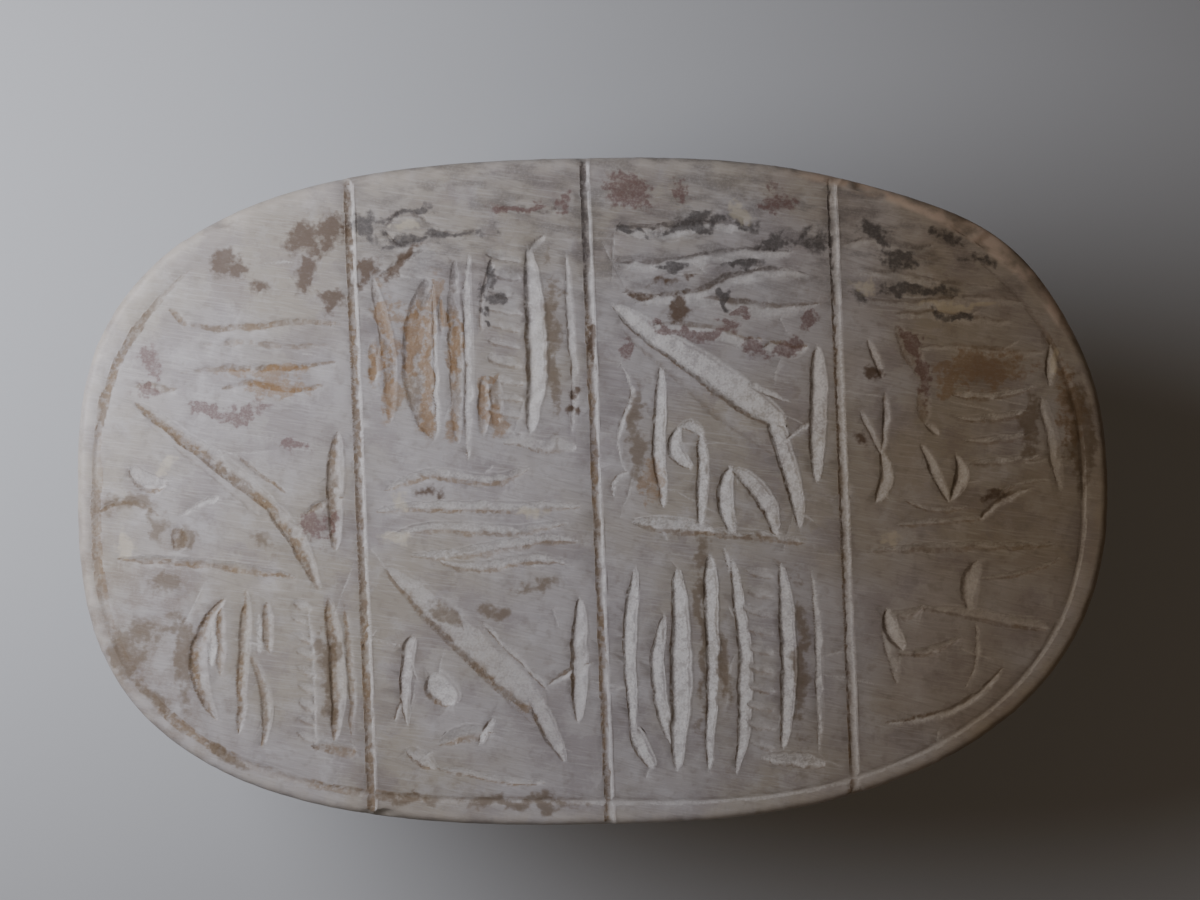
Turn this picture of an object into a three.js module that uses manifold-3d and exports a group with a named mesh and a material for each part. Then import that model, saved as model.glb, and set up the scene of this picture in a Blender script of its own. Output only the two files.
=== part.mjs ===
// A scarab amulet carved from one piece of soft stone: an oval plate, engraved on its flat face, with a
// beetle on the other side. It lies on its back, so the engraved face is on top and the beetle is below.
// Millimetres, +Z up, the beetle's head towards +X. "Deep" is a distance below the engraved face.
import * as THREE from "three";
import { mergeVertices } from "three/addons/utils/BufferGeometryUtils.js";
import Module from "manifold-3d";

const wasm = await Module();
wasm.setup();

// ---------------------------------------------------------------- driving dimensions
const LENGTH = 105;
const WIDTH = 68;
const HEIGHT = 42;

const PLATE = 9; // thickness of the engraved plate
const RIM = 1; // rounding of the plate's two edges
const SWELL = { at: 31, reach: 1.1, spread: 10 }; // the wall stands out below a worn stretch of the rim
const LIP = 19; // how deep the underside of the wing cases' edge lies
const NECK = 0.945; // the wall behind the legs, as a share of the beetle's outline above it

const BLUNT = 2.6; // exponent of the plate's oval, where 2 is an ellipse and more is squarer
const BLUNT_CHANGE = 0.2; // the tail end is squarer and the head end rounder by this much
const BODY_BLUNT = 2.35; // exponent of the beetle's ovals, seen from above
const DOME_BLUNT = 2.15; // exponent of the beetle's domes, seen from the side

// Each dome: centre, reach to the tail, to the head and to each side, how deep it starts, and its rise.
const WING_CASES = { x: -4, tail: 44.3, head: 34, side: 30.5, start: 11, rise: 31.8, sides: 42 };
const THORAX = { x: 10, tail: 24, head: 26, side: 29.6, start: 11, rise: 28.5, sides: 40 };
const HEAD = { x: 34, tail: 10, head: 11.2, side: 11.4, start: 8, rise: 16.5, sides: 28 };

const FOREHEAD = { x: 36, reach: 14.6, side: 13.6, top: 14.2, teeth: 6, notch: 2.2, fan: 1.2 };
const EYE = { x: 37.5, y: 11.2, deep: 15, length: 6.2, width: 4.2, rise: 5 };

// Legs, from hip through knee to foot: x, how deep, and how far in from the plate's edge.
const FRONT_LEG = [[13, 17.5, 9.5], [25, 16, 5.4], [38, 12.6, 4.6], [47.5, 10.4, 4.2]];
const MIDDLE_LEG = [[12, 18, 9.5], [3, 16.6, 5.4], [-6, 13.4, 4.7], [-15, 10.6, 4.2]];
const HIND_LEG = [[-9, 18, 9.5], [-20, 16.8, 5.6], [-31, 13.8, 4.9], [-42, 10.6, 4.4]];
const LEG_SHAPE = { hip: 2.2, thigh: 3.3, knee: 2.3, shin: 2.7, foot: 1.3 };

// Engraved lines.
const COLUMN_WIDTH = 24.4;
const MIDDLE_LINE = { x: 0.9, lean: 0.02, width: 1.3, depth: 0.55 };
const BORDER = { inset: 2.6, wander: 0.5, width: 1.0, depth: 0.42, start: 145, end: 395 };
const STEEPNESS = 0.42; // depth of a gouge as a share of its width
const CUT_FROM = new THREE.Vector2(-0.92, -0.39); // the side on which every gouge is steepest

const STONE = new THREE.MeshStandardMaterial({ color: 0xa8a098, roughness: 0.5, metalness: 0 });

const PLATE_SIDES = 76;
const DOME_RINGS = 7;
const LEG_SIDES = 8;
const LEG_STEPS = 8;

const degrees = Math.PI / 180;

// ---------------------------------------------------------------- closed bodies
function solid(positions, triangles) {
  const build = (order) =>
    new wasm.Manifold(
      new wasm.Mesh({
        numProp: 3,
        vertProperties: new Float32Array(positions),
        triVerts: new Uint32Array(order),
      }),
    );
  const made = build(triangles);
  return made.volume() > 0 ? made : build([...triangles].reverse());
}

// A body through rings of points, all with the same number of points, closed flat at both ends.
function loft(rings) {
  const sides = rings[0].length;
  const triangles = [];
  for (let i = 0; i + 1 < rings.length; i++) {
    for (let j = 0; j < sides; j++) {
      const a = i * sides + j;
      const b = i * sides + ((j + 1) % sides);
      triangles.push(a, b, b + sides, a, b + sides, a + sides);
    }
  }
  const last = (rings.length - 1) * sides;
  for (let j = 1; j + 1 < sides; j++) {
    triangles.push(0, j + 1, j);
    triangles.push(last, last + j, last + j + 1);
  }
  return solid(rings.flat().flatMap((p) => [p.x, p.y, p.z]), triangles);
}

// A three.js geometry as a body.
function bodyOf(geometry) {
  const bare = geometry.clone();
  bare.deleteAttribute("normal");
  bare.deleteAttribute("uv");
  const merged = mergeVertices(bare, 1e-3);
  return solid(merged.attributes.position.array, merged.index.array);
}

function unite(bodies) {
  return bodies.reduce((all, body) => all.add(body));
}

function carve(body, cutters) {
  return body.subtract(unite(cutters));
}

const range = (count) => Array.from({ length: count }, (_, i) => i);

// ---------------------------------------------------------------- the plate
// Distance from the middle to the plate's oval, drawn in by an inset, in one direction.
function plateRadius(angle, inset = 0) {
  const c = Math.abs(Math.cos(angle)) / (LENGTH / 2 - inset);
  const s = Math.abs(Math.sin(angle)) / (WIDTH / 2 - inset);
  const blunt = BLUNT - BLUNT_CHANGE * Math.cos(angle);
  return (c ** blunt + s ** blunt) ** (-1 / blunt);
}

function platePoint(angle, inset, deep, swell = 0) {
  const r = plateRadius(angle, inset) + swell * wallSwell(angle);
  return new THREE.Vector3(r * Math.cos(angle), r * Math.sin(angle), HEIGHT - deep);
}

// How far the plate's wall stands out beyond the oval, in one direction.
function wallSwell(angle) {
  return SWELL.reach * Math.exp(-(((angle / degrees - SWELL.at) / SWELL.spread) ** 2));
}

// The half-width of the oval, drawn in by an inset, at a place along its length.
function plateHalfWidth(x, inset) {
  const blunt = BLUNT - BLUNT_CHANGE * (x / (LENGTH / 2));
  return (WIDTH / 2 - inset) * (1 - Math.abs(x / (LENGTH / 2 - inset)) ** blunt) ** (1 / blunt);
}

function plate() {
  // inset, deep, and the share of the swell
  const profile = [[RIM, 0, 0], [0.3 * RIM, 0.3 * RIM, 0.3], [0, RIM, 1], [0, PLATE - RIM, 1], [RIM, PLATE, 1]];
  return loft(
    profile.map(([inset, deep, swell]) =>
      range(PLATE_SIDES).map((i) => platePoint((i / PLATE_SIDES) * 2 * Math.PI, inset, deep, swell)),
    ),
  );
}

// Small nicks that use has broken out of the engraved edge, at angles round the oval.
function edgeNicks() {
  const nicks = [[143, 1.5], [47, 1.7], [33, 2.1], [236, 1.2]];
  return nicks.map(([angle, radius]) => {
    const at = platePoint(angle * degrees, -0.35 * radius, -0.35 * radius);
    return bodyOf(new THREE.SphereGeometry(radius, 10, 8).scale(1.5, 1, 1)
      .rotateZ(angle * degrees + Math.PI / 2)
      .translate(at.x, at.y, at.z));
  });
}

// ---------------------------------------------------------------- the beetle
// One point of a dome's oval at a share of its full size.
function ovalPoint(dome, angle, share, deep) {
  const c = Math.cos(angle);
  const s = Math.sin(angle);
  const reach = c > 0 ? dome.head : dome.tail;
  const r = (Math.abs(c / reach) ** BODY_BLUNT + Math.abs(s / dome.side) ** BODY_BLUNT) ** (-1 / BODY_BLUNT);
  return new THREE.Vector3(dome.x + share * r * c, share * r * s, HEIGHT - deep);
}

// How far a dome has narrowed at a depth.
function domeShare(dome, deep) {
  return (1 - ((deep - dome.start) / dome.rise) ** DOME_BLUNT) ** (1 / DOME_BLUNT);
}

// How deep a dome reaches at a place, or its start where the place is outside it.
function domeDeep(dome, x, y) {
  const reach = x > dome.x ? dome.head : dome.tail;
  const oval = Math.abs((x - dome.x) / reach) ** BODY_BLUNT + Math.abs(y / dome.side) ** BODY_BLUNT;
  const share = Math.min(1, oval ** (1 / BODY_BLUNT));
  return dome.start + dome.rise * (1 - share ** DOME_BLUNT) ** (1 / DOME_BLUNT);
}

// A dome that starts from the depth "from", on a neck that reaches into the plate.
function dome(shape, from) {
  const widest = domeShare(shape, from);
  const levels = [[PLATE - 1, NECK * widest], [from - 2.2, NECK * widest], [from, widest]];
  const first = Math.asin(((from - shape.start) / shape.rise) ** (DOME_BLUNT / 2));
  for (const i of range(DOME_RINGS)) {
    const turn = first + ((Math.PI / 2 - first) * (i + 1)) / (DOME_RINGS + 0.4);
    levels.push([shape.start + shape.rise * Math.sin(turn) ** (2 / DOME_BLUNT), Math.cos(turn) ** (2 / DOME_BLUNT)]);
  }
  return loft(
    levels.map(([deep, share]) =>
      range(shape.sides).map((j) => ovalPoint(shape, (j / shape.sides) * 2 * Math.PI, share, deep)),
    ),
  );
}

// The flat front of the head, with teeth along its edge.
function forehead() {
  const outline = new THREE.Shape();
  outline.moveTo(FOREHEAD.x - 6, -FOREHEAD.side);
  outline.lineTo(FOREHEAD.x, -FOREHEAD.side);
  const steps = FOREHEAD.teeth * 2;
  for (const i of range(steps + 1)) {
    const turn = FOREHEAD.fan * ((2 * i) / steps - 1);
    const cut = i % 2 ? 0 : FOREHEAD.notch;
    outline.lineTo(
      FOREHEAD.x + (FOREHEAD.reach - cut) * Math.cos(turn),
      (FOREHEAD.side - cut) * Math.sin(turn),
    );
  }
  outline.lineTo(FOREHEAD.x, FOREHEAD.side);
  outline.lineTo(FOREHEAD.x - 6, FOREHEAD.side);
  const thickness = FOREHEAD.top - PLATE + 1;
  const flat = new THREE.ExtrudeGeometry(outline, { depth: thickness, bevelEnabled: false });
  return bodyOf(flat.translate(0, 0, HEIGHT - FOREHEAD.top));
}

function eye(side) {
  const ball = new THREE.SphereGeometry(0.5, 12, 8).scale(EYE.length, EYE.width, EYE.rise);
  return bodyOf(ball.rotateZ(-0.35 * side).translate(EYE.x, side * EYE.y, HEIGHT - EYE.deep));
}

// A leg's radius at a share of its length: thigh, knee, shin and foot.
function legRadius(t) {
  const { hip, thigh, knee, shin, foot } = LEG_SHAPE;
  const marks = [[0, hip], [0.25, thigh], [0.5, knee], [0.72, shin], [1, foot]];
  const i = marks.findIndex(([at]) => at >= t);
  if (i <= 0) return hip;
  const [t0, r0] = marks[i - 1];
  const [t1, r1] = marks[i];
  return THREE.MathUtils.lerp(r0, r1, THREE.MathUtils.smoothstep((t - t0) / (t1 - t0), 0, 1));
}

function leg(marks, side) {
  const path = new THREE.CatmullRomCurve3(
    marks.map(([x, deep, inset]) => new THREE.Vector3(x, side * plateHalfWidth(x, inset), HEIGHT - deep)),
  );
  const rings = range(LEG_STEPS + 1).map((i) => {
    const t = i / LEG_STEPS;
    const centre = path.getPoint(t);
    const along = path.getTangent(t);
    const across = new THREE.Vector3(0, 0, 1).cross(along).normalize();
    const up = along.clone().cross(across);
    return range(LEG_SIDES).map((j) => {
      const turn = ((j + 0.5) / LEG_SIDES) * 2 * Math.PI;
      return centre.clone()
        .addScaledVector(across, legRadius(t) * Math.cos(turn))
        .addScaledVector(up, legRadius(t) * Math.sin(turn));
    });
  });
  return loft(rings);
}

// How deep the beetle's back reaches at a place, down to the flat that it lies on.
function backDeep(x, y) {
  return Math.min(HEIGHT, Math.max(domeDeep(WING_CASES, x, y), domeDeep(THORAX, x, y)));
}

// The direction out of the beetle's back at a place.
function backNormal(x, y) {
  const step = 0.4;
  const dx = (backDeep(x + step, y) - backDeep(x - step, y)) / (2 * step);
  const dy = (backDeep(x, y + step) - backDeep(x, y - step)) / (2 * step);
  return new THREE.Vector3(-dx, -dy, -1).normalize();
}

// A V-shaped cutter along a line on the beetle's back, given as a function of t from 0 to 1.
function backLine(line, steps, width, depth) {
  const rings = range(steps + 1).map((i) => {
    const [x, y] = line(i / steps);
    const [xn, yn] = line(i / steps + 0.01);
    const at = new THREE.Vector3(x, y, HEIGHT - backDeep(x, y));
    const along = new THREE.Vector3(xn, yn, HEIGHT - backDeep(xn, yn)).sub(at).normalize();
    const out = backNormal(x, y);
    const across = new THREE.Vector3().crossVectors(along, out).normalize();
    return [
      at.clone().addScaledVector(out, -depth),
      at.clone().addScaledVector(out, depth).addScaledVector(across, width),
      at.clone().addScaledVector(out, depth).addScaledVector(across, -width),
    ];
  });
  return loft(rings);
}

// The lines that part the wing cases, the thorax and the head.
function backLines() {
  const thoraxEdge = (shift) => (t) => {
    const y = THREE.MathUtils.lerp(-28.2, 28.2, t);
    return [7 + shift + 4.5 * (y / 28) ** 2, y];
  };
  const seam = (t) => [THREE.MathUtils.lerp(7.5, -47.6, Math.sin((t * Math.PI) / 2)), 0];
  const wingEdge = (side) => (t) => {
    const at = ovalPoint(WING_CASES, THREE.MathUtils.lerp(0.42, 0.985, t) * Math.PI, 0.915, 0);
    return [at.x, side * at.y];
  };
  const shoulder = (side, start) => (t) => [
    THREE.MathUtils.lerp(3.6, -4.5, t),
    side * THREE.MathUtils.lerp(start, 17, t),
  ];
  return [
    backLine(thoraxEdge(0), 12, 1.3, 0.85),
    backLine(thoraxEdge(2.6), 12, 0.9, 0.55),
    backLine(seam, 9, 1.3, 0.85),
    ...[-1, 1].map((side) => backLine(wingEdge(side), 11, 0.9, 0.6)),
    ...[-1, 1].flatMap((side) => [13, 20.5].map((start) => backLine(shoulder(side, start), 2, 1.1, 0.7))),
  ];
}

function beetle() {
  const legs = [-1, 1].flatMap((side) => [FRONT_LEG, MIDDLE_LEG, HIND_LEG].map((marks) => leg(marks, side)));
  return unite([
    dome(WING_CASES, LIP),
    dome(THORAX, LIP),
    dome(HEAD, PLATE + 1.5),
    forehead(),
    ...[-1, 1].map(eye),
    ...legs,
  ]);
}

// ---------------------------------------------------------------- the engraving
// A gouge runs from one point to another on the face. It may bow to one side by a share of its length, or
// wave by a distance. It is widest at its belly, a share of its length.
function gouge(from, to, width, { bow = 0, wave = 0, belly = 0.5, steps } = {}) {
  const length = Math.hypot(to[0] - from[0], to[1] - from[1]);
  return { from, to, width, bow, wave, belly, length, steps: steps ?? Math.min(4, Math.max(2, Math.round(length / 4))) };
}

// The middle of a gouge at a share of its length.
function gougePoint(g, t) {
  const [dx, dy] = [(g.to[0] - g.from[0]) / g.length, (g.to[1] - g.from[1]) / g.length];
  const aside = g.bow * g.length * 4 * t * (1 - t) + g.wave * Math.sin(2 * Math.PI * t);
  return new THREE.Vector2(g.from[0] + dx * g.length * t - dy * aside, g.from[1] + dy * g.length * t + dx * aside);
}

// Half of a gouge's width at a share of its length.
function gougeHalfWidth(g, t) {
  const turn = t < g.belly ? 1 - t / g.belly : (t - g.belly) / (1 - g.belly);
  return 0.5 * g.width * Math.max(0.1, Math.cos((Math.PI / 2) * turn) ** 0.7);
}

// The V-shaped cutter of a gouge. Its floor lies towards the side that it was cut from.
function gougeCutter(g) {
  const rings = range(g.steps + 1).map((i) => {
    const t = i / g.steps;
    const at = gougePoint(g, t);
    const along = gougePoint(g, t + 0.01).sub(gougePoint(g, t - 0.01)).normalize();
    const across = new THREE.Vector2(-along.y, along.x);
    const half = gougeHalfWidth(g, t);
    const floor = 0.5 * half * across.dot(CUT_FROM);
    const depth = STEEPNESS * 2 * half;
    const above = 1.5; // the V goes on above the face, by this share of its depth
    const corner = (aside) => new THREE.Vector3(
      at.x + across.x * (floor + (aside - floor) * (1 + above)),
      at.y + across.y * (floor + (aside - floor) * (1 + above)),
      HEIGHT + above * depth,
    );
    return [
      new THREE.Vector3(at.x + across.x * floor, at.y + across.y * floor, HEIGHT - depth),
      corner(half),
      corner(-half),
    ];
  });
  return loft(rings);
}

// Waving strokes that run across a column, one below the other.
function ripples({ x, y, w, h, count = 4, width = 0.9 }) {
  return range(count).map((i) => {
    const level = y + h * (0.5 - (i + 0.5) / count);
    const short = (i % 2) * 0.12 * w;
    return gouge([x - w / 2 + short, level], [x + w / 2 - 0.5 * short, level + 0.3], width,
      { wave: i % 2 ? 0.35 : -0.35 });
  });
}

// A long slanting gouge in two strokes, with a side stroke, and an upright where it ends.
function slope({ x, y, w, h }) {
  const at = (u, v) => [x + u * w, y + v * h];
  return [
    gouge(at(-0.48, 0.5), at(0.16, -0.06), 2.5, { belly: 0.66, steps: 4 }),
    gouge(at(0.1, 0.02), at(0.4, -0.5), 1.9, { bow: 0.06, belly: 0.35 }),
    gouge(at(0.02, 0.12), at(0.38, -0.07), 1.3, { bow: -0.03 }),
    gouge(at(0.52, 0.33), at(0.5, -0.28), 1.4, { bow: 0.02 }),
  ];
}

// Short cuts in the corner under a slope: an upright, a broad drop and two low strokes.
function corner({ x, y, w, h }) {
  const at = (u, v) => [x + u * w, y + v * h];
  return [
    gouge(at(-0.4, 0.62), at(-0.48, 0.03), 1.3, { bow: 0.06 }),
    gouge(at(-0.2, 0.36), at(0.0, 0.15), 2.2, { bow: -0.12 }),
    gouge(at(-0.4, -0.14), at(0.3, -0.03), 1.0, { wave: 0.4 }),
    gouge(at(-0.4, -0.35), at(0.42, -0.46), 1.1, { bow: 0.04, belly: 0.3 }),
  ];
}

// Thin uprights, one with a bent top, and an arch beside them, on a long base stroke.
function arches({ x, y, w, h }) {
  const at = (u, v) => [x + u * w, y + v * h];
  return [
    gouge(at(-0.5, 0.5), at(-0.47, -0.3), 0.8, { wave: 0.8 }),
    gouge(at(-0.26, 0.5), at(-0.25, -0.36), 1.3, { bow: 0.02 }),
    gouge(at(-0.15, 0.02), at(-0.01, 0.16), 1.1, { bow: -0.45, steps: 3 }),
    gouge(at(0.0, 0.17), at(0.01, -0.4), 1.2, { bow: -0.02 }),
    gouge(at(0.22, -0.44), at(0.15, -0.11), 1.2, { bow: 0.08 }),
    gouge(at(0.18, -0.08), at(0.48, -0.48), 1.3, { bow: 0.14 }),
    gouge(at(-0.38, -0.42), at(0.6, -0.53), 1.0, { bow: -0.01 }),
  ];
}

// Upright strokes side by side, from the left, with the given widths.
function reeds({ x, y, w, h, widths }) {
  return widths.map((width, i) => {
    const across = x + w * ((i + 0.5) / widths.length - 0.5);
    const low = y - h * (i % 2 ? 0.46 : 0.5);
    return gouge([across, y + h * (0.5 - 0.04 * (i % 3))], [across + 0.3, low], width, { bow: i ? 0.02 : -0.05 });
  });
}

// A row of short slanting cuts between an upright and a broad band, with a thin line after it.
function ladder({ x, y, w, h, rungs = 6 }) {
  const [left, right] = [x - w / 2, x + w / 2];
  const band = x + 0.1 * w;
  const cuts = range(rungs).map((i) => {
    const level = y + h * (0.42 - (0.88 * i) / rungs);
    return gouge([left + 0.5, level + 0.5], [band - 0.6, level - 0.4], 0.9, { steps: 2 });
  });
  return [
    gouge([left, y + h * 0.5], [left + 0.3, y - h * 0.5], 1.3, { bow: 0.01 }),
    gouge([band, y + h * 0.5], [band + 0.2, y - h * 0.46], 1.7, { bow: -0.02 }),
    gouge([right, y + h * 0.48], [right + 0.2, y - h * 0.5], 1.0, { bow: -0.03 }),
    gouge([left + 0.6, y - h * 0.51], [right + 0.8, y - h * 0.53], 1.1),
    ...cuts,
  ];
}

// Short cuts one below the other, that end at an upright.
function rake({ x, y, w, h, count = 4 }) {
  const teeth = range(count).map((i) => {
    const level = y + h * (0.5 - i / (count - 0.4));
    return gouge([x - w / 2 + 0.5 * i, level - 0.4], [x + w * 0.22 + 0.4 * i, level + 0.3], 1.0,
      { bow: -0.06, steps: 3 });
  });
  return [...teeth, gouge([x + w * 0.42, y + h * 0.4], [x + w * 0.48, y - h * 0.68], 1.5, { bow: 0.03 })];
}

// Two strokes that run together into one, and two broad strokes beside them.
function fork({ x, y, w, h }) {
  const at = (u, v) => [x + u * w, y + v * h];
  return [
    gouge(at(-0.48, 0.2), at(-0.2, -0.2), 1.2, { belly: 0.4 }),
    gouge(at(-0.05, 0.45), at(-0.15, -0.1), 1.1, { belly: 0.4 }),
    gouge(at(-0.14, -0.14), at(-0.22, -0.55), 1.5, { bow: 0.08 }),
    gouge(at(0.18, 0.6), at(0.48, 0.02), 1.6, { bow: -0.08 }),
    gouge(at(0.5, -0.04), at(0.92, -0.52), 2.0, { bow: 0.12 }),
  ];
}

// A bent stroke open to the right, and a long bar that starts clear of it, between two short ticks.
function bow({ x, y, w, h }) {
  const at = (u, v) => [x + u * w, y + v * h];
  return [
    gouge(at(-0.42, 0.3), at(-0.44, -0.5), 2.0, { bow: -0.2 }),
    gouge(at(-0.38, 0.36), at(-0.12, 0.26), 1.0),
    gouge(at(-0.36, -0.5), at(-0.08, -0.34), 0.9, { bow: -0.1 }),
    gouge(at(-0.1, 0.16), at(0.5, -0.06), 1.3, { belly: 0.4 }),
    gouge(at(0.1, 0.72), at(0.06, 0.3), 1.4, { bow: 0.08 }),
    gouge(at(0.15, -0.2), at(0.06, -0.85), 0.9, { bow: 0.06 }),
  ];
}

function inscription() {
  return [
    // first column
    ...ripples({ x: -34.5, y: 14.6, w: 17.5, h: 10.5 }),
    ...slope({ x: -36.2, y: 0.4, w: 19.5, h: 19.5 }),
    gouge([-45.8, 2.7], [-42.4, 2.5], 1.9, { bow: -0.12 }),
    gouge([-42.3, -1.6], [-42.1, -5.2], 1.6, { bow: 0.1 }),
    gouge([-48.2, -6.1], [-29.9, -8.3], 1.2, { bow: 0.01, belly: 0.75 }),
    ...reeds({ x: -35.6, y: -17.3, w: 8.1, h: 14, widths: [2.2, 0.9, 1.4] }),
    ...ladder({ x: -27.6, y: -17.3, w: 4.2, h: 14.5, rungs: 5 }),
    // second column
    ...ripples({ x: -12, y: 28, w: 18, h: 4, count: 2 }),
    ...reeds({ x: -16.7, y: 13.8, w: 11.2, h: 16.5, widths: [1.6, 2.8, 1.3, 1.2] }),
    ...ladder({ x: -6.6, y: 15, w: 7.6, h: 19.5 }),
    ...ripples({ x: -11.4, y: -3.6, w: 19.5, h: 10.5, count: 5, width: 1.0 }),
    ...slope({ x: -11.6, y: -17.2, w: 19, h: 20.5 }),
    ...corner({ x: -14, y: -23, w: 13, h: 14.5 }),
    // third column
    ...ripples({ x: 13.2, y: 22, w: 19, h: 12 }),
    ...slope({ x: 12.4, y: 7.5, w: 20, h: 23 }),
    ...arches({ x: 10.8, y: 3.6, w: 17, h: 18 }),
    ...reeds({ x: 7.7, y: -17.8, w: 10.8, h: 20, widths: [1.4, 2.8, 1.5] }),
    ...ladder({ x: 18.8, y: -17.4, w: 7.6, h: 19.5, rungs: 7 }),
    // fourth column
    ...ripples({ x: 35.6, y: 20.6, w: 15, h: 7, count: 3 }),
    ...fork({ x: 30.6, y: 6.6, w: 7, h: 14.5 }),
    ...rake({ x: 42, y: 5.9, w: 10.5, h: 9.3 }),
    ...ripples({ x: 38, y: -5, w: 19, h: 5.5, count: 2, width: 1.1 }),
    ...bow({ x: 37.6, y: -13.6, w: 16.5, h: 8 }),
    gouge([30, -24], [42, -19], 0.9, { bow: -0.05 }),
  ];
}

// The three lines that part the face into columns. Each runs out over the rim at both ends.
function columnLines() {
  return [-1, 0, 1].map((i) => {
    const x = MIDDLE_LINE.x + i * COLUMN_WIDTH;
    const half = WIDTH / 2 + 4;
    const side = 2 * MIDDLE_LINE.width;
    const ring = (y) => {
      const at = x - MIDDLE_LINE.lean * y;
      return [
        new THREE.Vector3(at - 0.2, y, HEIGHT - MIDDLE_LINE.depth),
        new THREE.Vector3(at + side, y, HEIGHT + 3 * MIDDLE_LINE.depth),
        new THREE.Vector3(at - side, y, HEIGHT + 3 * MIDDLE_LINE.depth),
      ];
    };
    return loft([ring(-half), ring(half)]);
  });
}

// The line along the rim, which is worn away at the top.
function borderLine() {
  const steps = 44;
  const rings = range(steps + 1).map((i) => {
    const angle = THREE.MathUtils.lerp(BORDER.start, BORDER.end, i / steps) * degrees;
    const inset = BORDER.inset + BORDER.wander * Math.sin(3 * angle + 1);
    const fade = Math.max(0.15, Math.min(1, 8 * Math.min(i / steps, 1 - i / steps)));
    const side = fade * BORDER.width;
    const rise = fade * BORDER.depth;
    return [
      platePoint(angle, inset, rise),
      platePoint(angle, inset - side, -rise),
      platePoint(angle, inset + side, -rise),
    ];
  });
  return loft(rings);
}

// ---------------------------------------------------------------- the amulet
function scarab() {
  const floor = bodyOf(new THREE.BoxGeometry(2 * LENGTH, 2 * WIDTH, 20).translate(0, 0, -10));
  const shaped = carve(carve(beetle().add(plate()), [floor]), backLines());
  const engraving = [...columnLines(), borderLine(), ...inscription().map(gougeCutter), ...edgeNicks()];
  const finished = carve(shaped, engraving).getMesh();
  const geometry = new THREE.BufferGeometry();
  geometry.setAttribute("position", new THREE.BufferAttribute(finished.vertProperties, 3));
  geometry.setIndex(new THREE.BufferAttribute(finished.triVerts, 1));
  geometry.computeVertexNormals();
  const mesh = new THREE.Mesh(geometry, STONE);
  mesh.name = "scarab";
  return mesh;
}

const amulet = new THREE.Group();
amulet.add(scarab());
export default amulet;
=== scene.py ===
"""A scarab amulet carved from one piece of soft stone, lying on its back with the engraved face on top.

Lengths are millimetres in the row frame, and become metres when a mesh is made. The piece has the form of the
solid that it stands for, with the tool marks, the worn edge and the stone's colours added."""

import math
from collections import namedtuple

import bpy
import numpy as np
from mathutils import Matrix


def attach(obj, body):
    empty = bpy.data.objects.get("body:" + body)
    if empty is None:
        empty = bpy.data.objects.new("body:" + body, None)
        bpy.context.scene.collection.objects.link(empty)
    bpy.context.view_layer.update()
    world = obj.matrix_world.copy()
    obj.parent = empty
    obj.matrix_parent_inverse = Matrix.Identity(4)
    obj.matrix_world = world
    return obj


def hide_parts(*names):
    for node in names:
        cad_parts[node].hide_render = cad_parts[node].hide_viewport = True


# ---------------------------------------------------------------- sizes, as in the solid
LENGTH, WIDTH, HEIGHT = 105.0, 68.0, 42.0
PLATE = 9.0  # thickness of the engraved plate
RIM = 1.0  # rounding of the plate's edges
SWELL_AT, SWELL_REACH, SWELL_SPREAD = 31.0, 1.1, 10.0  # where the wall stands out below the worn rim
LIP = 19.0  # how deep the underside of the wing cases' edge lies
NECK = 0.945  # how far the beetle draws in above the plate, as a share of its outline
BLUNT, BLUNT_CHANGE = 2.6, 0.2  # power of the plate's outline, and how it falls towards the head
BODY_BLUNT, DOME_BLUNT = 2.35, 2.15  # powers of the beetle's outline and of its arch

Dome = namedtuple("Dome", "x tail head side start rise")
WING_CASES = Dome(-4, 44.3, 34, 30.5, 11, 31.8)
THORAX = Dome(10, 24, 26, 29.6, 11, 28.5)
HEAD = Dome(34, 10, 11.2, 11.4, 8, 16.5)

# place along X, and the share of the width that is brown
COLUMN_LINES = ((-23.6, 0.7), (0.4, 0.66), (25.4, 0.3))
LINE_LEAN = 0.022  # how far a column line goes against X for each millimetre along Y
LINE_DEPTH = 0.13
LINE_HALF_WIDTH = 0.54
BORDER_INSET, BORDER_WANDER, BORDER_DEPTH, BORDER_HALF_WIDTH = 2.4, 0.35, 0.14, 0.42
BORDER_START, BORDER_END = 145.0, 395.0  # degrees round the face, from X towards Y
STEEPNESS = 0.27  # how deep a keen cut is for its width
CUT_FROM = np.array([-0.92, -0.39])  # the steep sides of the cuts lie this way

# the camera: how far it is turned in degrees, where it stands to the view's right and up, and how high
VIEW_TURN, VIEW_RIGHT, VIEW_UP, VIEW_HEIGHT = -0.983, 0.75, 4.19, 210.9

FACE_TOP = HEIGHT - 0.05  # the face's highest parts, which leaves room for the burrs of the cuts
TRIANGLES = 196000  # what the stone is thinned out to
KEEP = 4e-6  # how much the thinning spares the points in the stains
SEED = 11

rng = np.random.default_rng(SEED)


# ---------------------------------------------------------------- numbers
def smooth(low, high, value):
    """0 below low, 1 above high, and an even S between them."""
    t = np.clip((value - low) / (high - low), 0, 1)
    return t * t * (3 - 2 * t)


LATTICE = rng.standard_normal((256, 256))


def noise(x, y, size, shift=0):
    """Soft random waves about one size across, from -1 to 1 for the most part: random numbers on a square
    lattice, blended between its points with an even S."""
    u, v = x / size + 17.3 * shift + 64, y / size + 9.1 * shift + 64
    i, j = np.floor(u).astype(int), np.floor(v).astype(int)
    s, t = u - i, v - j
    s, t = s * s * (3 - 2 * s), t * t * (3 - 2 * t)
    i, j = i % 255, j % 255
    low = LATTICE[i, j] * (1 - s) + LATTICE[i + 1, j] * s
    high = LATTICE[i, j + 1] * (1 - s) + LATTICE[i + 1, j + 1] * s
    return 0.75 * (low * (1 - t) + high * t)


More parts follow.
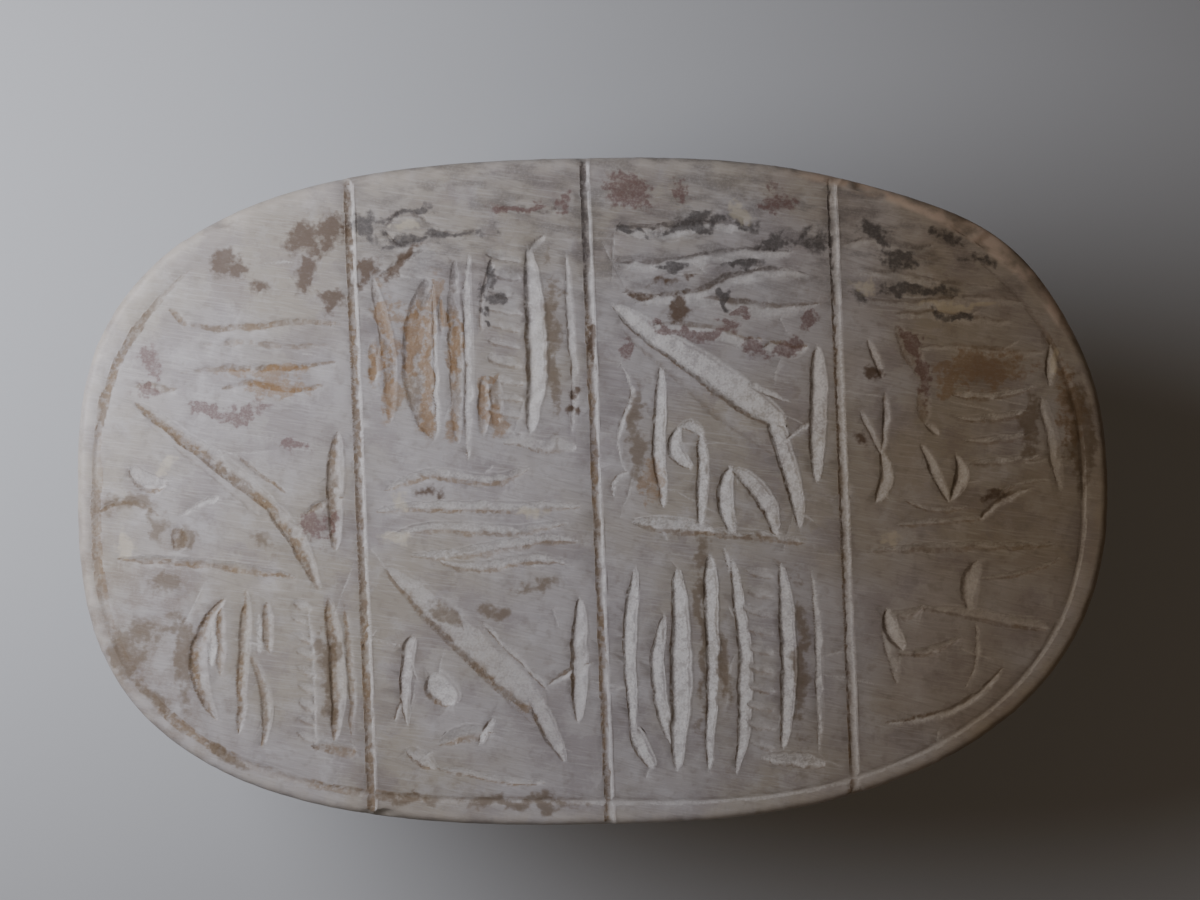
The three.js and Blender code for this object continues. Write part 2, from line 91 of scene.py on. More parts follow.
# ---------------------------------------------------------------- the plate's oval
def oval_radius(angle, inset=0.0):
    """Distance from the middle to the oval, drawn in by an inset: a superellipse, squarer at the tail."""
    c = np.abs(np.cos(angle)) / (LENGTH / 2 - inset)
    s = np.abs(np.sin(angle)) / (WIDTH / 2 - inset)
    blunt = BLUNT - BLUNT_CHANGE * np.cos(angle)
    return (c**blunt + s**blunt) ** (-1 / blunt)


def oval_half_width(x, inset):
    blunt = BLUNT - BLUNT_CHANGE * (x / (LENGTH / 2))
    return (WIDTH / 2 - inset) * (1 - np.abs(x / (LENGTH / 2 - inset)) ** blunt) ** (1 / blunt)


def wall_swell(angle):
    turn = (np.degrees(angle) - SWELL_AT + 180) % 360 - 180
    return SWELL_REACH * np.exp(-((turn / SWELL_SPREAD) ** 2))


# ---------------------------------------------------------------- the engraved lines
Gouge = namedtuple("Gouge", "x0 y0 x1 y1 width bow wave belly keen back white fill dirt")


def gouge(start, end, width, bow=0.0, wave=0.0, belly=0.5, keen=0.8, back=False, **own):
    """A cut from one point to another. It bows to its left by a share of its length, or waves by a distance,
    and is widest at its belly, a share of its length. Keen is how deep it is for its width. Its steep side is
    the one at the left, or the other one for a cut made backhand. It can have its own look."""
    looks = (own.get(name) for name in ("white", "fill", "dirt"))
    return Gouge(*start, *end, width, bow, wave, belly, keen, back, *looks)


def look(cuts, white, fill, dirt):
    """The same cuts with this look, apart from those that have their own. White is how pale their broad side
    is
    painted: the fresh stone's own paleness together with painted light, as that side faces the light. Fill is
    the share of their width that holds dirt, and dirt how dark the brown is there: deposits together with
    painted shade, as the steep side is turned away from the light."""
    common = {"white": white, "fill": fill, "dirt": dirt}
    return [
        g._replace(**{name: value for name, value in common.items() if getattr(g, name) is None})
        for g in cuts
    ]


def cell(x, y, w, h):
    """A function that gives the points of a cell by shares of its width and height from its middle."""
    return lambda u, v: (x + u * w, y + v * h)


def ripples(rows, width, keen, **own):
    """Waving strokes across a column. Each row is where it starts, where it ends, and how high it waves."""
    return [gouge((a, b), (c, d), width, wave=wave, keen=keen, **own) for a, b, c, d, wave in rows]


def slope(x, y, w, h, width, keen, knee, bevel=1.4):
    """A long wedge: a broad stroke from its apex to a knee, a narrower one on to its tip, a side stroke, a
    worn bevel along its low side, and an upright that a short stroke joins to it."""
    at = cell(x, y, w, h)
    u, v = knee
    return [
        gouge(
            at(-0.46, 0.4), at(u, v - 0.05 * bevel), bevel,
            belly=0.65, keen=0.25, white=0, fill=0.3, dirt=0.3,
        ),
        gouge(at(-0.5, 0.48), at(u + 0.03, v), width, belly=0.75, keen=keen),
        gouge(at(u - 0.05, v + 0.08), at(0.43, -0.5), 1.7, belly=0.3, bow=0.03),
        gouge(at(0.0, 0.2), at(u + 0.07, v + 0.1), 0.8, keen=0.6),
        gouge(at(0.36, -0.12), at(0.58, -0.03), 0.8, bow=0.1),
        gouge(at(0.53, 0.3), at(0.51, -0.3), 1.7, belly=0.4),
    ]


def corner():
    """Short cuts in the corner under a slope: an upright with a foot, a broad drop and low strokes."""
    return [
        gouge((-18.6, -14.4), (-19.2, -23.3), 1.3, bow=-0.06, belly=0.15),
        gouge((-19.6, -20.8), (-20.5, -23), 0.8),
        gouge((-16.7, -18.2), (-14.5, -21.4), 3.0, bow=-0.1, keen=0.5, white=0.8, fill=0.3),
        gouge((-16, -25.4), (-10.4, -24.3), 1.7, bow=0.08, keen=0.5),
        gouge((-11.8, -25.4), (-10.5, -22.8), 1.0, white=0.8),
        gouge((-19.4, -25.8), (-16.2, -27.8), 1.5, keen=0.6),
        gouge((-16.8, -27.4), (-5, -29.5), 1.0, bow=-0.03, keen=0.6),
    ]


def arches():
    """Thin uprights, one with a curled top, and an arch beside them, on a long base stroke."""
    return [
        gouge((3.3, 13), (3.6, 1.6), 0.8, wave=0.9, keen=0.5),
        gouge((3.5, 1.9), (2, -0.5), 0.8, bow=-0.2, keen=0.5),
        gouge((7, 12.6), (7.1, -1.7), 1.3, bow=-0.02),
        gouge((10.0, 2.2), (8.8, 6.5), 1.5, bow=0.22),
        gouge((8.9, 6.6), (11.4, 5.4), 1.2, bow=0.2),
        gouge((11.2, 5.9), (10.8, -3.6), 1.2, bow=0.01),
        gouge((14.0, 2.2), (14.4, -4.6), 1.7, bow=-0.12),
        gouge((14.2, 2.2), (18.6, -4.8), 1.6, bow=0.12),
        gouge((3.9, -3.3), (12, -4.1), 1.6, fill=0.4),
        gouge((10.5, -4.3), (21.5, -5.5), 1.2, keen=0.6, fill=0.6),
    ]


def upper_leaves():
    """Drops and leaves side by side, which dirt fills."""
    return [
        gouge((-22.2, 15.5), (-22, 11.6), 1.1, keen=0.5),
        gouge((-21.9, 22), (-20.2, 7.3), 1.5, bow=0.03, keen=0.5),
        gouge((-16.5, 21.8), (-16.1, 5.6), 3.3, bow=-0.08, keen=0.4),
        gouge((-15.7, 21.5), (-15.6, 6), 0.7, keen=0.5, white=0.7, fill=0.3),
        gouge((-15, 20), (-15.1, 16.4), 0.7),
        gouge((-13.7, 23.6), (-13.7, 5.2), 1.5, keen=0.5),
        gouge((-12.2, 24.6), (-12.6, 3.5), 1.1, keen=0.5, fill=0.3, white=0.6),
    ]


def tail_reeds():
    """A crescent, two long uprights and a bent one."""
    return [
        gouge((-37.6, -10.3), (-38.7, -22.4), 1.8, bow=-0.19),
        gouge((-38.8, -11.6), (-38.9, -17.2), 1.0, white=1, fill=0, keen=0.4),
        gouge((-37.9, -10.8), (-38.2, -18), 1.0),
        gouge((-35.2, -9.6), (-36.3, -23.8), 1.3),
        gouge((-33.1, -11), (-33, -15.8), 1.2, bow=-0.05),
        gouge((-34.9, -16.1), (-33.8, -25.2), 1.1, bow=0.1),
        gouge((-34, -12), (-33.9, -16), 0.8, white=0.8, fill=0, keen=0.4),
    ]


def reeds():
    """Upright strokes side by side, and a leaf of two strokes among them."""
    return [
        gouge((4.3, -7.8), (4.1, -25), 1.3, bow=-0.05, belly=0.3),
        gouge((3.9, -24), (5.7, -28.2), 1.6, bow=-0.05),
        gouge((8.4, -7.8), (8.1, -28.3), 2.0, bow=0.01),
        gouge((6.9, -12.6), (7.8, -26), 1.4, bow=-0.09),
        gouge((11.6, -6.8), (11.3, -28.5), 1.4, bow=0.01, belly=0.2),
        gouge((13.9, -7.4), (14.2, -28.7), 1.4, bow=0.045),
        gouge((13.2, -6), (13.7, -8.3), 0.6),
        gouge((13, -15), (12.6, -23), 1.5, keen=0.2, white=0.1, fill=0.9, dirt=0.4),
    ]


def ladder(x, y, w, h, rungs, band, lie=0.02):
    """A row of short slanting cuts before a broad band, a thin line after it, and a base stroke."""
    left, right, middle = x - w / 2, x + w / 2, x + lie * w
    cuts = [
        gouge((middle, y + h * 0.5), (middle + 0.1, y - h * 0.46), band, bow=0.035),
        gouge((right, y + h * 0.48), (right + 0.3, y - h * 0.5), 0.9, bow=0.02, keen=0.6),
        gouge((left + 1.6, y - h * 0.51), (right + 0.8, y - h * 0.54), 1.8, belly=0.8, keen=0.4),
    ]
    for i in range(rungs):
        level = y + h * (0.48 - i / rungs)
        ends = (left + 0.2, level), (x - 0.5, level - 0.9)
        rung = gouge(*ends, 1.2, keen=0.5, fill=0.35, dirt=0.5, white=0.4)
        cuts.append(rung)
    return cuts


def rake(x, y, w, h, count=4):
    """Short cuts one below the other, that end at a slanting upright."""
    cuts = [gouge((x + w * 0.36, y + h * 0.4), (x + w * 0.52, y - h * 0.75), 1.3, keen=0.4)]
    for i in range(count):
        level = y + h * (0.5 - i / (count - 0.4))
        start, end = (x - w / 2 + 0.5 * i, level - 0.4), (x + w * 0.26 + 0.2 * i, level + 0.3)
        cuts.append(gouge(start, end, 1.0, bow=-0.07, white=0.8))
    return cuts


def fork():
    """Two strokes that run together into one, two broad strokes beside them, and a hook."""
    return [
        gouge((27.3, 7.9), (29.3, 3.2), 0.9),
        gouge((28.4, 15), (29.7, 11.2), 0.9),
        gouge((30, 9.6), (29.3, 3), 0.9, bow=0.04),
        gouge((29.3, 3.4), (28.8, -1.5), 1.3, bow=0.12, white=0.6),
        gouge((31.3, 16.2), (34, 10.4), 1.8, white=0.1, fill=0.9, keen=0.3),
        gouge((33.8, 10.6), (34.0, 6.2), 1.5, white=0.1, fill=0.9, keen=0.3),
        gouge((33.9, 6.2), (35.2, 5.2), 0.9, white=0.5),
        gouge((33.4, 4.2), (36.2, -1.6), 1.0),
        gouge((36.9, 3.2), (36.4, -1.5), 1.3, bow=0.16, white=0.6),
    ]


def bent():
    """A bent stroke open to the right, a long bar that starts clear of it, and short ticks."""
    return [
        gouge((33.4, -12.2), (29.6, -12.9), 1.1, bow=0.14),
        gouge((29.7, -12.6), (31.2, -16.6), 1.6, bow=-0.1, white=0.8),
        gouge((30.6, -17), (37.2, -15.4), 1.0, bow=-0.07),
        gouge((29.1, -14.6), (30.7, -20.2), 1.1, keen=0.5),
        gouge((33, -12.3), (46, -14.6), 1.3, belly=0.8),
        gouge((38.9, -7.9), (38, -13), 1.9, bow=-0.1, keen=0.4),
        gouge((39, -9.8), (47.4, -7.6), 0.8, bow=-0.05),
        gouge((38.6, -14), (37.4, -20.6), 0.8, bow=0.12, keen=0.5),
        gouge((29.3, -24), (41.6, -18.4), 1.0, bow=-0.12),
    ]


def inscription():
    """Rows of shallow strokes that aren't letters, column by column from the tail."""
    first_ripples = [
        (-42.6, 19.2, -40.9, 17.4, 0.1), (-41.2, 17.5, -25, 17.3, -0.4), (-39.6, 15.4, -26.6, 15.5, 0.2),
        (-42, 12.6, -25.8, 13.6, 0.3), (-37.5, 11, -26.9, 11.2, 0.5), (-46, 11.4, -42, 11.2, 0.2),
    ]
    first = [
        *slope(-36.2, 0.4, 19.5, 19.5, 1.9, 0.7, (0.2, -0.1)),
        gouge((-46.8, 3.2), (-43.2, 1.4), 2.0, bow=-0.16, keen=0.5, white=0.5, fill=0.3),
        gouge((-50.2, -1.4), (-43.7, -1.8), 1.1, bow=0.2, keen=0.4),
        gouge((-42.0, -1.9), (-38.0, 0.0), 0.9, bow=0.05, white=0.6, fill=0, keen=0.4),
        gouge((-42.4, -2.9), (-42.1, -5.4), 1.8, bow=0.1, fill=1, keen=0.4),
        gouge((-48.2, -5.9), (-29.9, -8.3), 1.1, bow=0.015, belly=0.7),
        *tail_reeds(),
        *ladder(-27.9, -17.8, 5.4, 15, 9, 1.7, 0.2),
        gouge((-28.7, -11), (-28.6, -25), 0.5, white=0.5, fill=0.2),
    ]
    second_marks = [
        gouge((-20.6, 27), (-15.9, 26.6), 0.8, bow=-0.28), gouge((-20.6, 27.2), (-15.8, 27.4), 0.8, bow=0.3),
        *ripples([(-16, 26.4, -11.2, 26.8, 0.1), (-10, 28.5, -3, 28.9, 0.2)], 0.8, 0.5),
        *ripples([(-21, 22.5, -16.8, 24.8, 0)], 0.8, 0.5),
        gouge((-9.6, 24.1), (-10.9, 19.4), 0.8), gouge((-10.9, 19.5), (-11, 16.4), 0.5),
    ]
    second_right = [
        gouge((-10.9, 11.6), (-10.9, 6), 1.4, fill=1),
        gouge((-9.7, 11.8), (-9.4, 6.2), 1.4, fill=1, keen=0.5),
        *ladder(-6.4, 15, 8.2, 19.5, 11, 2.0),
        gouge((-4.6, 26), (-6.2, 24.4), 0.8),
    ]
    second_ripples = [
        (-22, -1.6, -1.4, -1.4, 0.15), (-21, -4.4, -2.4, -3.1, 0.5), (-18.6, -6.3, -1.8, -5, -0.3),
        (-15.6, -6.9, -2.4, -7.6, -0.5), (-21, 0.5, -6, 2.6, 0.8),
    ]
    third_ripples = [
        (2.8, 26.6, 16.5, 26.3, -0.3), (2.3, 23.2, 21, 23.7, -0.4), (3.4, 19.9, 22.4, 21.4, -0.9),
        (4.6, 18.8, 23, 18.6, 0.7), (6.5, 16.6, 17.5, 14.9, 0.2), (17.5, 14.3, 22, 14.4, 0.2),
    ]
    fourth_ripples = [
        (26, 24.6, 35, 24.3, 0.3), (27.1, 21.5, 41, 20, 0.3), (27.6, 18.9, 44.5, 18.2, -0.4),
        (31, 17.3, 44, 16.4, 0.2), (33.5, 13.9, 46, 13.2, 0.1),
    ]
    fourth = [
        *fork(),
        *rake(42, 5.4, 10.5, 8.2),
        gouge((46.7, 14.2), (46.6, 9.8), 1.0, white=0.6),
        gouge((31.5, -1.2), (38, -2.2), 0.8, bow=-0.1),
        gouge((31, -3.9), (39.5, -3.4), 0.9),
        gouge((39, -3.6), (45, -0.4), 0.9, bow=0.06),
        gouge((41, -1.4), (46.4, 0.2), 0.6, bow=0.1),
        gouge((27.8, -6.6), (47, -6.1), 1.1, fill=0.5),
        *bent(),
    ]
    return [
        *look(ripples(first_ripples, 0.9, 0.5), 0.05, 0.85, 0.8),
        *look(first, 0.3, 0.66, 0.9),
        *look(second_marks, 0.1, 0.8, 0.6),
        *look(upper_leaves(), 0.4, 0.85, 0.8),
        *look(second_right, 0.5, 0.25, 0.6),
        *look(ripples(second_ripples, 1.4, 0.5), 0.7, 0.42, 0.8),
        *look(slope(-11.6, -17.2, 19, 20.5, 3.6, 0.4, (0.3, -0.25)) + corner(), 0.5, 0.36, 0.9),
        *look(ripples(third_ripples, 1.7, 0.5, back=True), 0.6, 0.35, 0.75),
        *look(slope(12.4, 7.5, 20, 23, 2.8, 0.75, (0.32, -0.05), 2.4) + arches(), 0.85, 0.24, 0.85),
        *look(reeds() + ladder(18.6, -17.4, 7.2, 19.5, 10, 1.6), 0.9, 0.22, 0.8),
        *look(ripples(fourth_ripples, 1.4, 0.35, back=True), 0.4, 0.35, 0.5),
        *look(fourth, 0.55, 0.4, 0.6),
    ]


def scratches(strokes):
    """Thin stray scratches over the face, most in the directions in which it was rubbed down, and slips of
    the tool beside the strokes."""
    cuts = []
    for _ in range(46):
        x, y = rng.uniform(-44, 44), rng.uniform(-27, 27)
        turn = math.radians(rng.choice([-12, -20, 4, 75, -60]) + rng.normal(0, 6))
        length = rng.uniform(2, 7)
        end = (x + length * math.cos(turn), y + length * math.sin(turn))
        cuts.append(gouge((x, y), end, 0.28, white=0.5, fill=0, dirt=0))
    for g in strokes:
        if g.width > 1.2 and g.white > 0.3:
            t, turn = rng.uniform(0.1, 0.9), math.atan2(g.y1 - g.y0, g.x1 - g.x0) + rng.normal(0, 0.5)
            x, y, length = g.x0 + t * (g.x1 - g.x0), g.y0 + t * (g.y1 - g.y0), rng.uniform(1, 2.6)
            end = (x + length * math.cos(turn), y + length * math.sin(turn))
            cuts.append(gouge((x, y), end, 0.35, white=0.6, fill=0, dirt=0))
    return cuts


CUTS = inscription()
CUTS += scratches(CUTS)


def cut_profile(g, x, y, shift):
    """Depth of one cut, and where each point lies across it: below 0 on its steep side, and 1 at the far
    edge. The cut is a V with chipped edges, a low burr beyond it, and a floor that is level where dirt
    fills it."""
    length = math.hypot(g.x1 - g.x0, g.y1 - g.y0)
    dx, dy = (g.x1 - g.x0) / length, (g.y1 - g.y0) / length
    along = ((x - g.x0) * dx + (y - g.y0) * dy) / length
    t = np.clip(along, 0, 1)
    aside = -(x - g.x0) * dy + (y - g.y0) * dx
    aside -= g.bow * length * 4 * t * (1 - t) + g.wave * np.sin(2 * np.pi * t)
    turn = np.where(t < g.belly, 1 - t / g.belly, (t - g.belly) / (1 - g.belly))
    half = 0.5 * g.width * np.maximum(0.15, np.cos(np.pi / 2 * turn) ** 0.36)
    lean = -dy * CUT_FROM[0] + dx * CUT_FROM[1]
    lean = -lean if g.back else lean
    floor = 0.5 * half * lean
    far = np.where(lean < 0, aside - floor, floor - aside)
    across = far / np.where(far > 0, half * (1 + 0.5 * abs(lean)), half * (1 - 0.5 * abs(lean)))
    chipped = 0.02 * noise(x, y, 0.45, shift) + 0.04 * noise(x, y, 1.3, shift + 1)
    ends = smooth(-0.45, 0.1, along * length) * smooth(-0.45, 0.1, (1 - along) * length)
    burr = 0.05 * g.keen * np.exp(-(((across - 1.12) / 0.12) ** 2)) * smooth(0.5, 1.5, g.width)
    cut = g.keen * STEEPNESS * 2 * half * np.minimum(1 - np.abs(across), 1 - 0.5 * g.fill)
    return (np.maximum(cut + chipped * min(1, g.width, 2 * g.keen), 0) - burr) * ends, across


def engraving(x, y, angle, radius):
    """For points of the face: how deep it is cut, how white the cut looks there, and how dirty. The white is
    fresh stone with painted light on the sides that face the light, and the brown is deposits with painted
    shade on the steep sides turned away from it. The cuts wander a little, as by hand."""
    wx = x + 0.14 * noise(x, y, 4.1, 1) + 0.07 * noise(x, y, 1.5, 2) + 0.04 * noise(x, y, 0.6, 10)
    wy = y + 0.14 * noise(x, y, 4.1, 3) + 0.07 * noise(x, y, 1.5, 4) + 0.04 * noise(x, y, 0.6, 11)
    deep, white, dirt = np.zeros_like(x), np.zeros_like(x), np.zeros_like(x)
    for number, g in enumerate(CUTS):
        reach = 1.5 * g.width + abs(g.bow) * math.hypot(g.x1 - g.x0, g.y1 - g.y0) + abs(g.wave) + 1
        near = (wx > min(g.x0, g.x1) - reach) & (wx < max(g.x0, g.x1) + reach)
        near &= (wy > min(g.y0, g.y1) - reach) & (wy < max(g.y0, g.y1) + reach)
        near = np.flatnonzero(near)
        cut, across = cut_profile(g, wx[near], wy[near], number)
        inside = smooth(0.0, 0.05, np.abs(cut))
        # Painted light and shade: the broad side, which faces the light, is painted white over the fresh
        # stone's own paleness, with a painted highlight along its far edge; the steep side, turned away from
        # the light, is painted brown, deposits together with painted shade.
        edge = 2 * g.fill - 1
        brim = (0.35 + 0.3 * g.white) * np.exp(-(((across - 1.0) / 0.17) ** 2)) * smooth(0.4, 1.2, g.width)
        ragged = across + 0.2 * noise(wx[near], wy[near], 0.5, number)
        pale = np.maximum(g.white * smooth(edge, edge + 0.3, ragged), brim * (g.white > 0)) * inside
        patchy = 0.7 + 0.3 * smooth(-0.4, 0.4, noise(wx[near], wy[near], 2.2, number + 50))
        brown = g.dirt * patchy * (1 - smooth(edge, edge + 0.4, ragged)) * inside
        over = cut >= np.maximum(deep[near], 0.02)
        deep[near] = np.where(over, cut, np.where(deep[near] > 0.02, deep[near], np.minimum(deep[near], cut)))
        white[near] = np.where(over, pale, np.maximum(white[near], np.where(deep[near] > 0.05, 0, pale)))
        dirt[near] = np.where(over, brown, dirt[near])
    for i, (place, brown_share) in enumerate(COLUMN_LINES):
        half = LINE_HALF_WIDTH * (1 + 0.06 * noise(x, y, 2.6, i + 3))
        across = (x - (place - LINE_LEAN * y)) / half + 0.03 * noise(x, y, 0.6, i + 6)
        ragged = across + 0.25 * noise(x, y, 0.4, i + 12)
        burr = 0.04 * np.exp(-(((across - 1.1) / 0.14) ** 2)) * (1 + noise(x, y, 1.8, i + 40))
        cut = LINE_DEPTH * np.clip(1.8 * (1 - np.abs(across)), 0, 1) - burr
        over = cut > np.maximum(deep, 0.02)
        # Painted light and shade: the brown band on each line's left, steep side is deposits together with
        # painted shade, in place of the shadow of a deeper groove; the white on its right side and on the
        # burr beyond is fresh stone together with painted light.
        edge = 2 * brown_share - 1
        burr = 0.3 * smooth(0.01, 0.04, -cut)
        white = np.where(over, 0.7 * smooth(edge, edge + 0.3, ragged), np.maximum(white, burr))
        dirt = np.where(over, 0.9 - 0.9 * smooth(edge - 0.1, edge + 0.2, ragged), dirt)
        deep = np.where(over, cut, np.where(deep > 0.02, deep, np.minimum(deep, cut)))
    turn = (np.degrees(angle) - BORDER_START) % 360
    share = turn / (BORDER_END - BORDER_START)
    fade = np.clip(8 * np.minimum(share, 1 - share), 0, 1)
    turn = np.degrees(angle) % 360
    inset = BORDER_INSET + BORDER_WANDER * np.sin(3 * angle + 1) + 0.8 * np.exp(-(((turn - 156) / 11) ** 2))
    left = smooth(10, -25, x)
    half = (BORDER_HALF_WIDTH + 0.2 * left) * (1 + 0.2 * noise(x, y, 1.4, 8))
    across = (radius + inset - oval_radius(angle)) / half
    cut = BORDER_DEPTH * fade * np.clip(1 - np.abs(across), 0, 1)
    over = cut > np.maximum(deep, 0.02)
    # The border's white is fresh stone together with painted light: it lies only on the outer wall of the
    # border's lower part, which faces the light from the left and above, and fades towards the left, where
    # that wall is turned away.
    white = np.where(over, (0.5 - 0.35 * left) * smooth(9, 3, y) * smooth(-0.4, 0.2, across), white)
    patchy = 0.35 + 0.5 * smooth(-0.3, 0.6, noise(x, y, 4.0, 9))
    dirt = np.where(over, np.maximum(left, 0.8 * smooth(8, 14, y)) * patchy, dirt)
    deep = np.where(over, cut, deep)
    return deep, white, dirt


def face_height(x, y, angle, radius):
    """Height of the engraved face: a plane with slight hollows from rubbing down, less every cut."""
    shape = x.shape
    flat = [value.ravel() for value in (x, y, angle, radius)]
    cuts = engraving(*flat)[0].reshape(shape)
    hollows = 0.06 + 0.035 * noise(x, y, 11.0, 5) + 0.02 * noise(x, y, 4.5, 6)
    return FACE_TOP - np.maximum(hollows, 0) - cuts


# ---------------------------------------------------------------- closed surfaces
def disc_grid(columns, rows):
    """A grid of squares bent into a disc, with no pole: for each point, its share of the way from the
    middle to the edge, and the direction as on a circle. The grid's square rings become the disc's
    rings."""
    u, v = np.meshgrid(np.linspace(-1, 1, columns), np.linspace(-1, 1, rows), indexing="ij")
    share = np.maximum(np.abs(u), np.abs(v))
    safe = np.maximum(share, 1e-9)
    turn = np.where(
        np.abs(u) >= np.abs(v),
        np.where(u > 0, np.pi / 4 * v / safe, np.pi - np.pi / 4 * v / safe),
        np.where(v > 0, np.pi / 2 - np.pi / 4 * u / safe, -np.pi / 2 + np.pi / 4 * u / safe),
    )
    return share, turn


def edge_of(columns, rows):
    """Indices of a grid's edge points, once round."""
    number = np.arange(columns * rows).reshape(columns, rows)
    return np.concatenate([number[:-1, 0], number[-1, :-1], number[:0:-1, -1], number[0, :0:-1]])


def closed(cap, rings):
    """Points and faces of a cap (a grid of points), the rings that go on from its edge, and a fan that closes
    the last ring."""
    columns, rows = cap.shape[:2]
    edge = edge_of(columns, rows)
    count = len(edge)
    number = np.arange(columns * rows).reshape(columns, rows)
    quads = [
        np.stack([number[:-1, :-1], number[1:, :-1], number[1:, 1:], number[:-1, 1:]], -1).reshape(-1, 4)
    ]
    loops = [edge] + [columns * rows + i * count + np.arange(count) for i in range(len(rings))]
    for a, b in zip(loops, loops[1:]):
        quads.append(np.stack([np.roll(a, -1), a, b, np.roll(b, -1)], -1))
    points = np.concatenate([cap.reshape(-1, 3), *rings, rings[-1].mean(0)[None]])
    last = loops[-1]
    fan = np.stack([np.roll(last, -1), last, np.full(count, len(points) - 1)], -1)
    return points, np.concatenate(quads), fan


def tube(rings):
    """Points and faces of rings of points, in order, with a fan over each end."""
    steps, sides = rings.shape[:2]
    number = np.arange(steps * sides).reshape(steps, sides)
    a, b = number[:-1], number[1:]
    quads = np.stack([a, np.roll(a, -1, 1), np.roll(b, -1, 1), b], -1).reshape(-1, 4)
    first, last = steps * sides, steps * sides + 1
    points = np.concatenate([rings.reshape(-1, 3), rings[0].mean(0)[None], rings[-1].mean(0)[None]])
    start = np.stack([np.roll(number[0], -1), number[0], np.full(sides, first)], -1)
    end = np.stack([number[-1], np.roll(number[-1], -1), np.full(sides, last)], -1)
    return points, quads, np.concatenate([start, end])


def solid(name, points, quads, triangles):
    """A mesh object with its faces outward."""
    a, b, c = (points[quads[:, i]] for i in (0, 1, 2))
    d = points[quads[:, 3]]
    e, f, g = (points[triangles[:, i]] for i in (0, 1, 2))
    volume = (np.cross(a, b) * c).sum() + (np.cross(a, c) * d).sum() + (np.cross(e, f) * g).sum()
    if volume < 0:
        quads, triangles = quads[:, ::-1], triangles[:, ::-1]
    mesh = bpy.data.meshes.new(name)
    mesh.from_pydata(points / 1000, [], [*quads.tolist(), *triangles.tolist()])
    obj = bpy.data.objects.new(name, mesh)
    bpy.context.scene.collection.objects.link(obj)
    return obj


def plate():
    """The plate: the engraved face, then the rim, the wall and the underside."""
    columns, rows = 800, 520
    share, turn = disc_grid(columns, rows)
    direction = np.arctan2(WIDTH * np.sin(turn), LENGTH * np.cos(turn))
    radius = share * oval_radius(direction, RIM)
    x, y = radius * np.cos(direction), radius * np.sin(direction)
    cap = np.stack([x, y, face_height(x, y, direction, radius)], -1)
    edge = edge_of(columns, rows)
    angle = direction.reshape(-1)[edge]
    c, s = np.cos(angle), np.sin(angle)
    brink = cap.reshape(-1, 3)[edge, 2]
    turns = np.linspace(0, np.pi / 2, 9)[1:]
    arc = LENGTH / 2 * angle
    wear = 0.04 * noise(arc, 0 * arc, 3.0, 21) + 0.04 * noise(arc, 0 * arc, 0.8, 22)
    chips = sum(
        size * np.exp(-(((np.degrees(angle) - at + 180) % 360 - 180) / spread) ** 2)
        for at, size, spread in [(143, 0.4, 1.0), (47, 0.3, 1.6), (33, 0.4, 2.2), (236, 0.3, 1.2)]
    )
    chips = chips * (1 + 0.5 * noise(arc, 0 * arc, 1.1, 23))
    rings = []
    for t in turns:
        inset = RIM * (1 - np.sin(t)) + (wear + chips) * np.sin(2 * t) + 0.05
        deep = RIM * (1 - np.cos(t)) + 0.6 * chips * np.sin(2 * t)
        r = oval_radius(angle, inset) + wall_swell(angle) * np.sin(t) ** 3
        rings.append(np.stack([r * c, r * s, brink - deep], -1))
    for deep, inset in [(PLATE - RIM, 0.03), (PLATE - 0.3 * RIM, 0.3 * RIM), (PLATE, RIM)]:
        r = oval_radius(angle, inset) + wall_swell(angle)
        rings.append(np.stack([r * c, r * s, np.full_like(r, HEIGHT - deep)], -1))
    return solid("plate", *closed(cap, rings))


# ---------------------------------------------------------------- the beetle
def dome(name, d, start, columns, rows):
    """A dome of superellipses, seen from above and from the side, on a neck that reaches into the plate."""
    share, turn = disc_grid(columns, rows)
    first = math.asin(((start - d.start) / d.rise) ** (DOME_BLUNT / 2))
    tilt = first + (np.pi / 2 - first) * (1 - share)
    wide, deep = np.cos(tilt) ** (2 / DOME_BLUNT), d.start + d.rise * np.sin(tilt) ** (2 / DOME_BLUNT)

    def plan(turn, wide, deep):
        reach = np.where(np.cos(turn) > 0, d.head, d.tail)
        angle = np.arctan2(d.side * np.sin(turn), reach * np.cos(turn))
        c, s = np.cos(angle), np.sin(angle)
        r = (np.abs(c / reach) ** BODY_BLUNT + np.abs(s / d.side) ** BODY_BLUNT) ** (-1 / BODY_BLUNT)
        return np.stack([d.x + wide * r * c, wide * r * s, HEIGHT - deep + 0 * r], -1)

    widest = math.cos(first) ** (2 / DOME_BLUNT)
    edge = turn.reshape(-1)[edge_of(columns, rows)]
    levels = [(start - 0.5, 0.994), (start - 1.0, 0.985), (start - 2.2, NECK), (PLATE - 1, NECK)]
    rings = [plan(edge, narrow * widest, np.full_like(edge, deep)) for deep, narrow in levels]
    return solid(name, *closed(plan(turn, wide, deep), rings))


def forehead():
    """The flat front of the head, with teeth along its edge."""
    x, reach, side, top, teeth, notch, fan = 36, 14.6, 13.6, 14.2, 6, 2.2, 1.2
    steps = np.arange(2 * teeth * 6 + 1) / 6
    turn = fan * (steps / teeth - 1)
    cut = notch * np.abs((steps + 1) % 2 - 1)
    cut = notch - cut
    front = np.stack([x + (reach - notch + cut) * np.cos(turn), (side - notch + cut) * np.sin(turn)], -1)
    back = np.array([[x, side], [x - 6, side], [x - 6, -side], [x, -side]])
    outline = np.concatenate([front, back])
    middle = np.array([x, 0.0])
    rings = []
    for deep, size in [(PLATE - 1, 1.0), (top - 0.5, 1.0), (top, 0.965)]:
        ring = middle + (outline - middle) * size
        rings.append(np.column_stack([ring, np.full(len(ring), HEIGHT - deep)]))
    return solid("forehead", *tube(np.array(rings)))


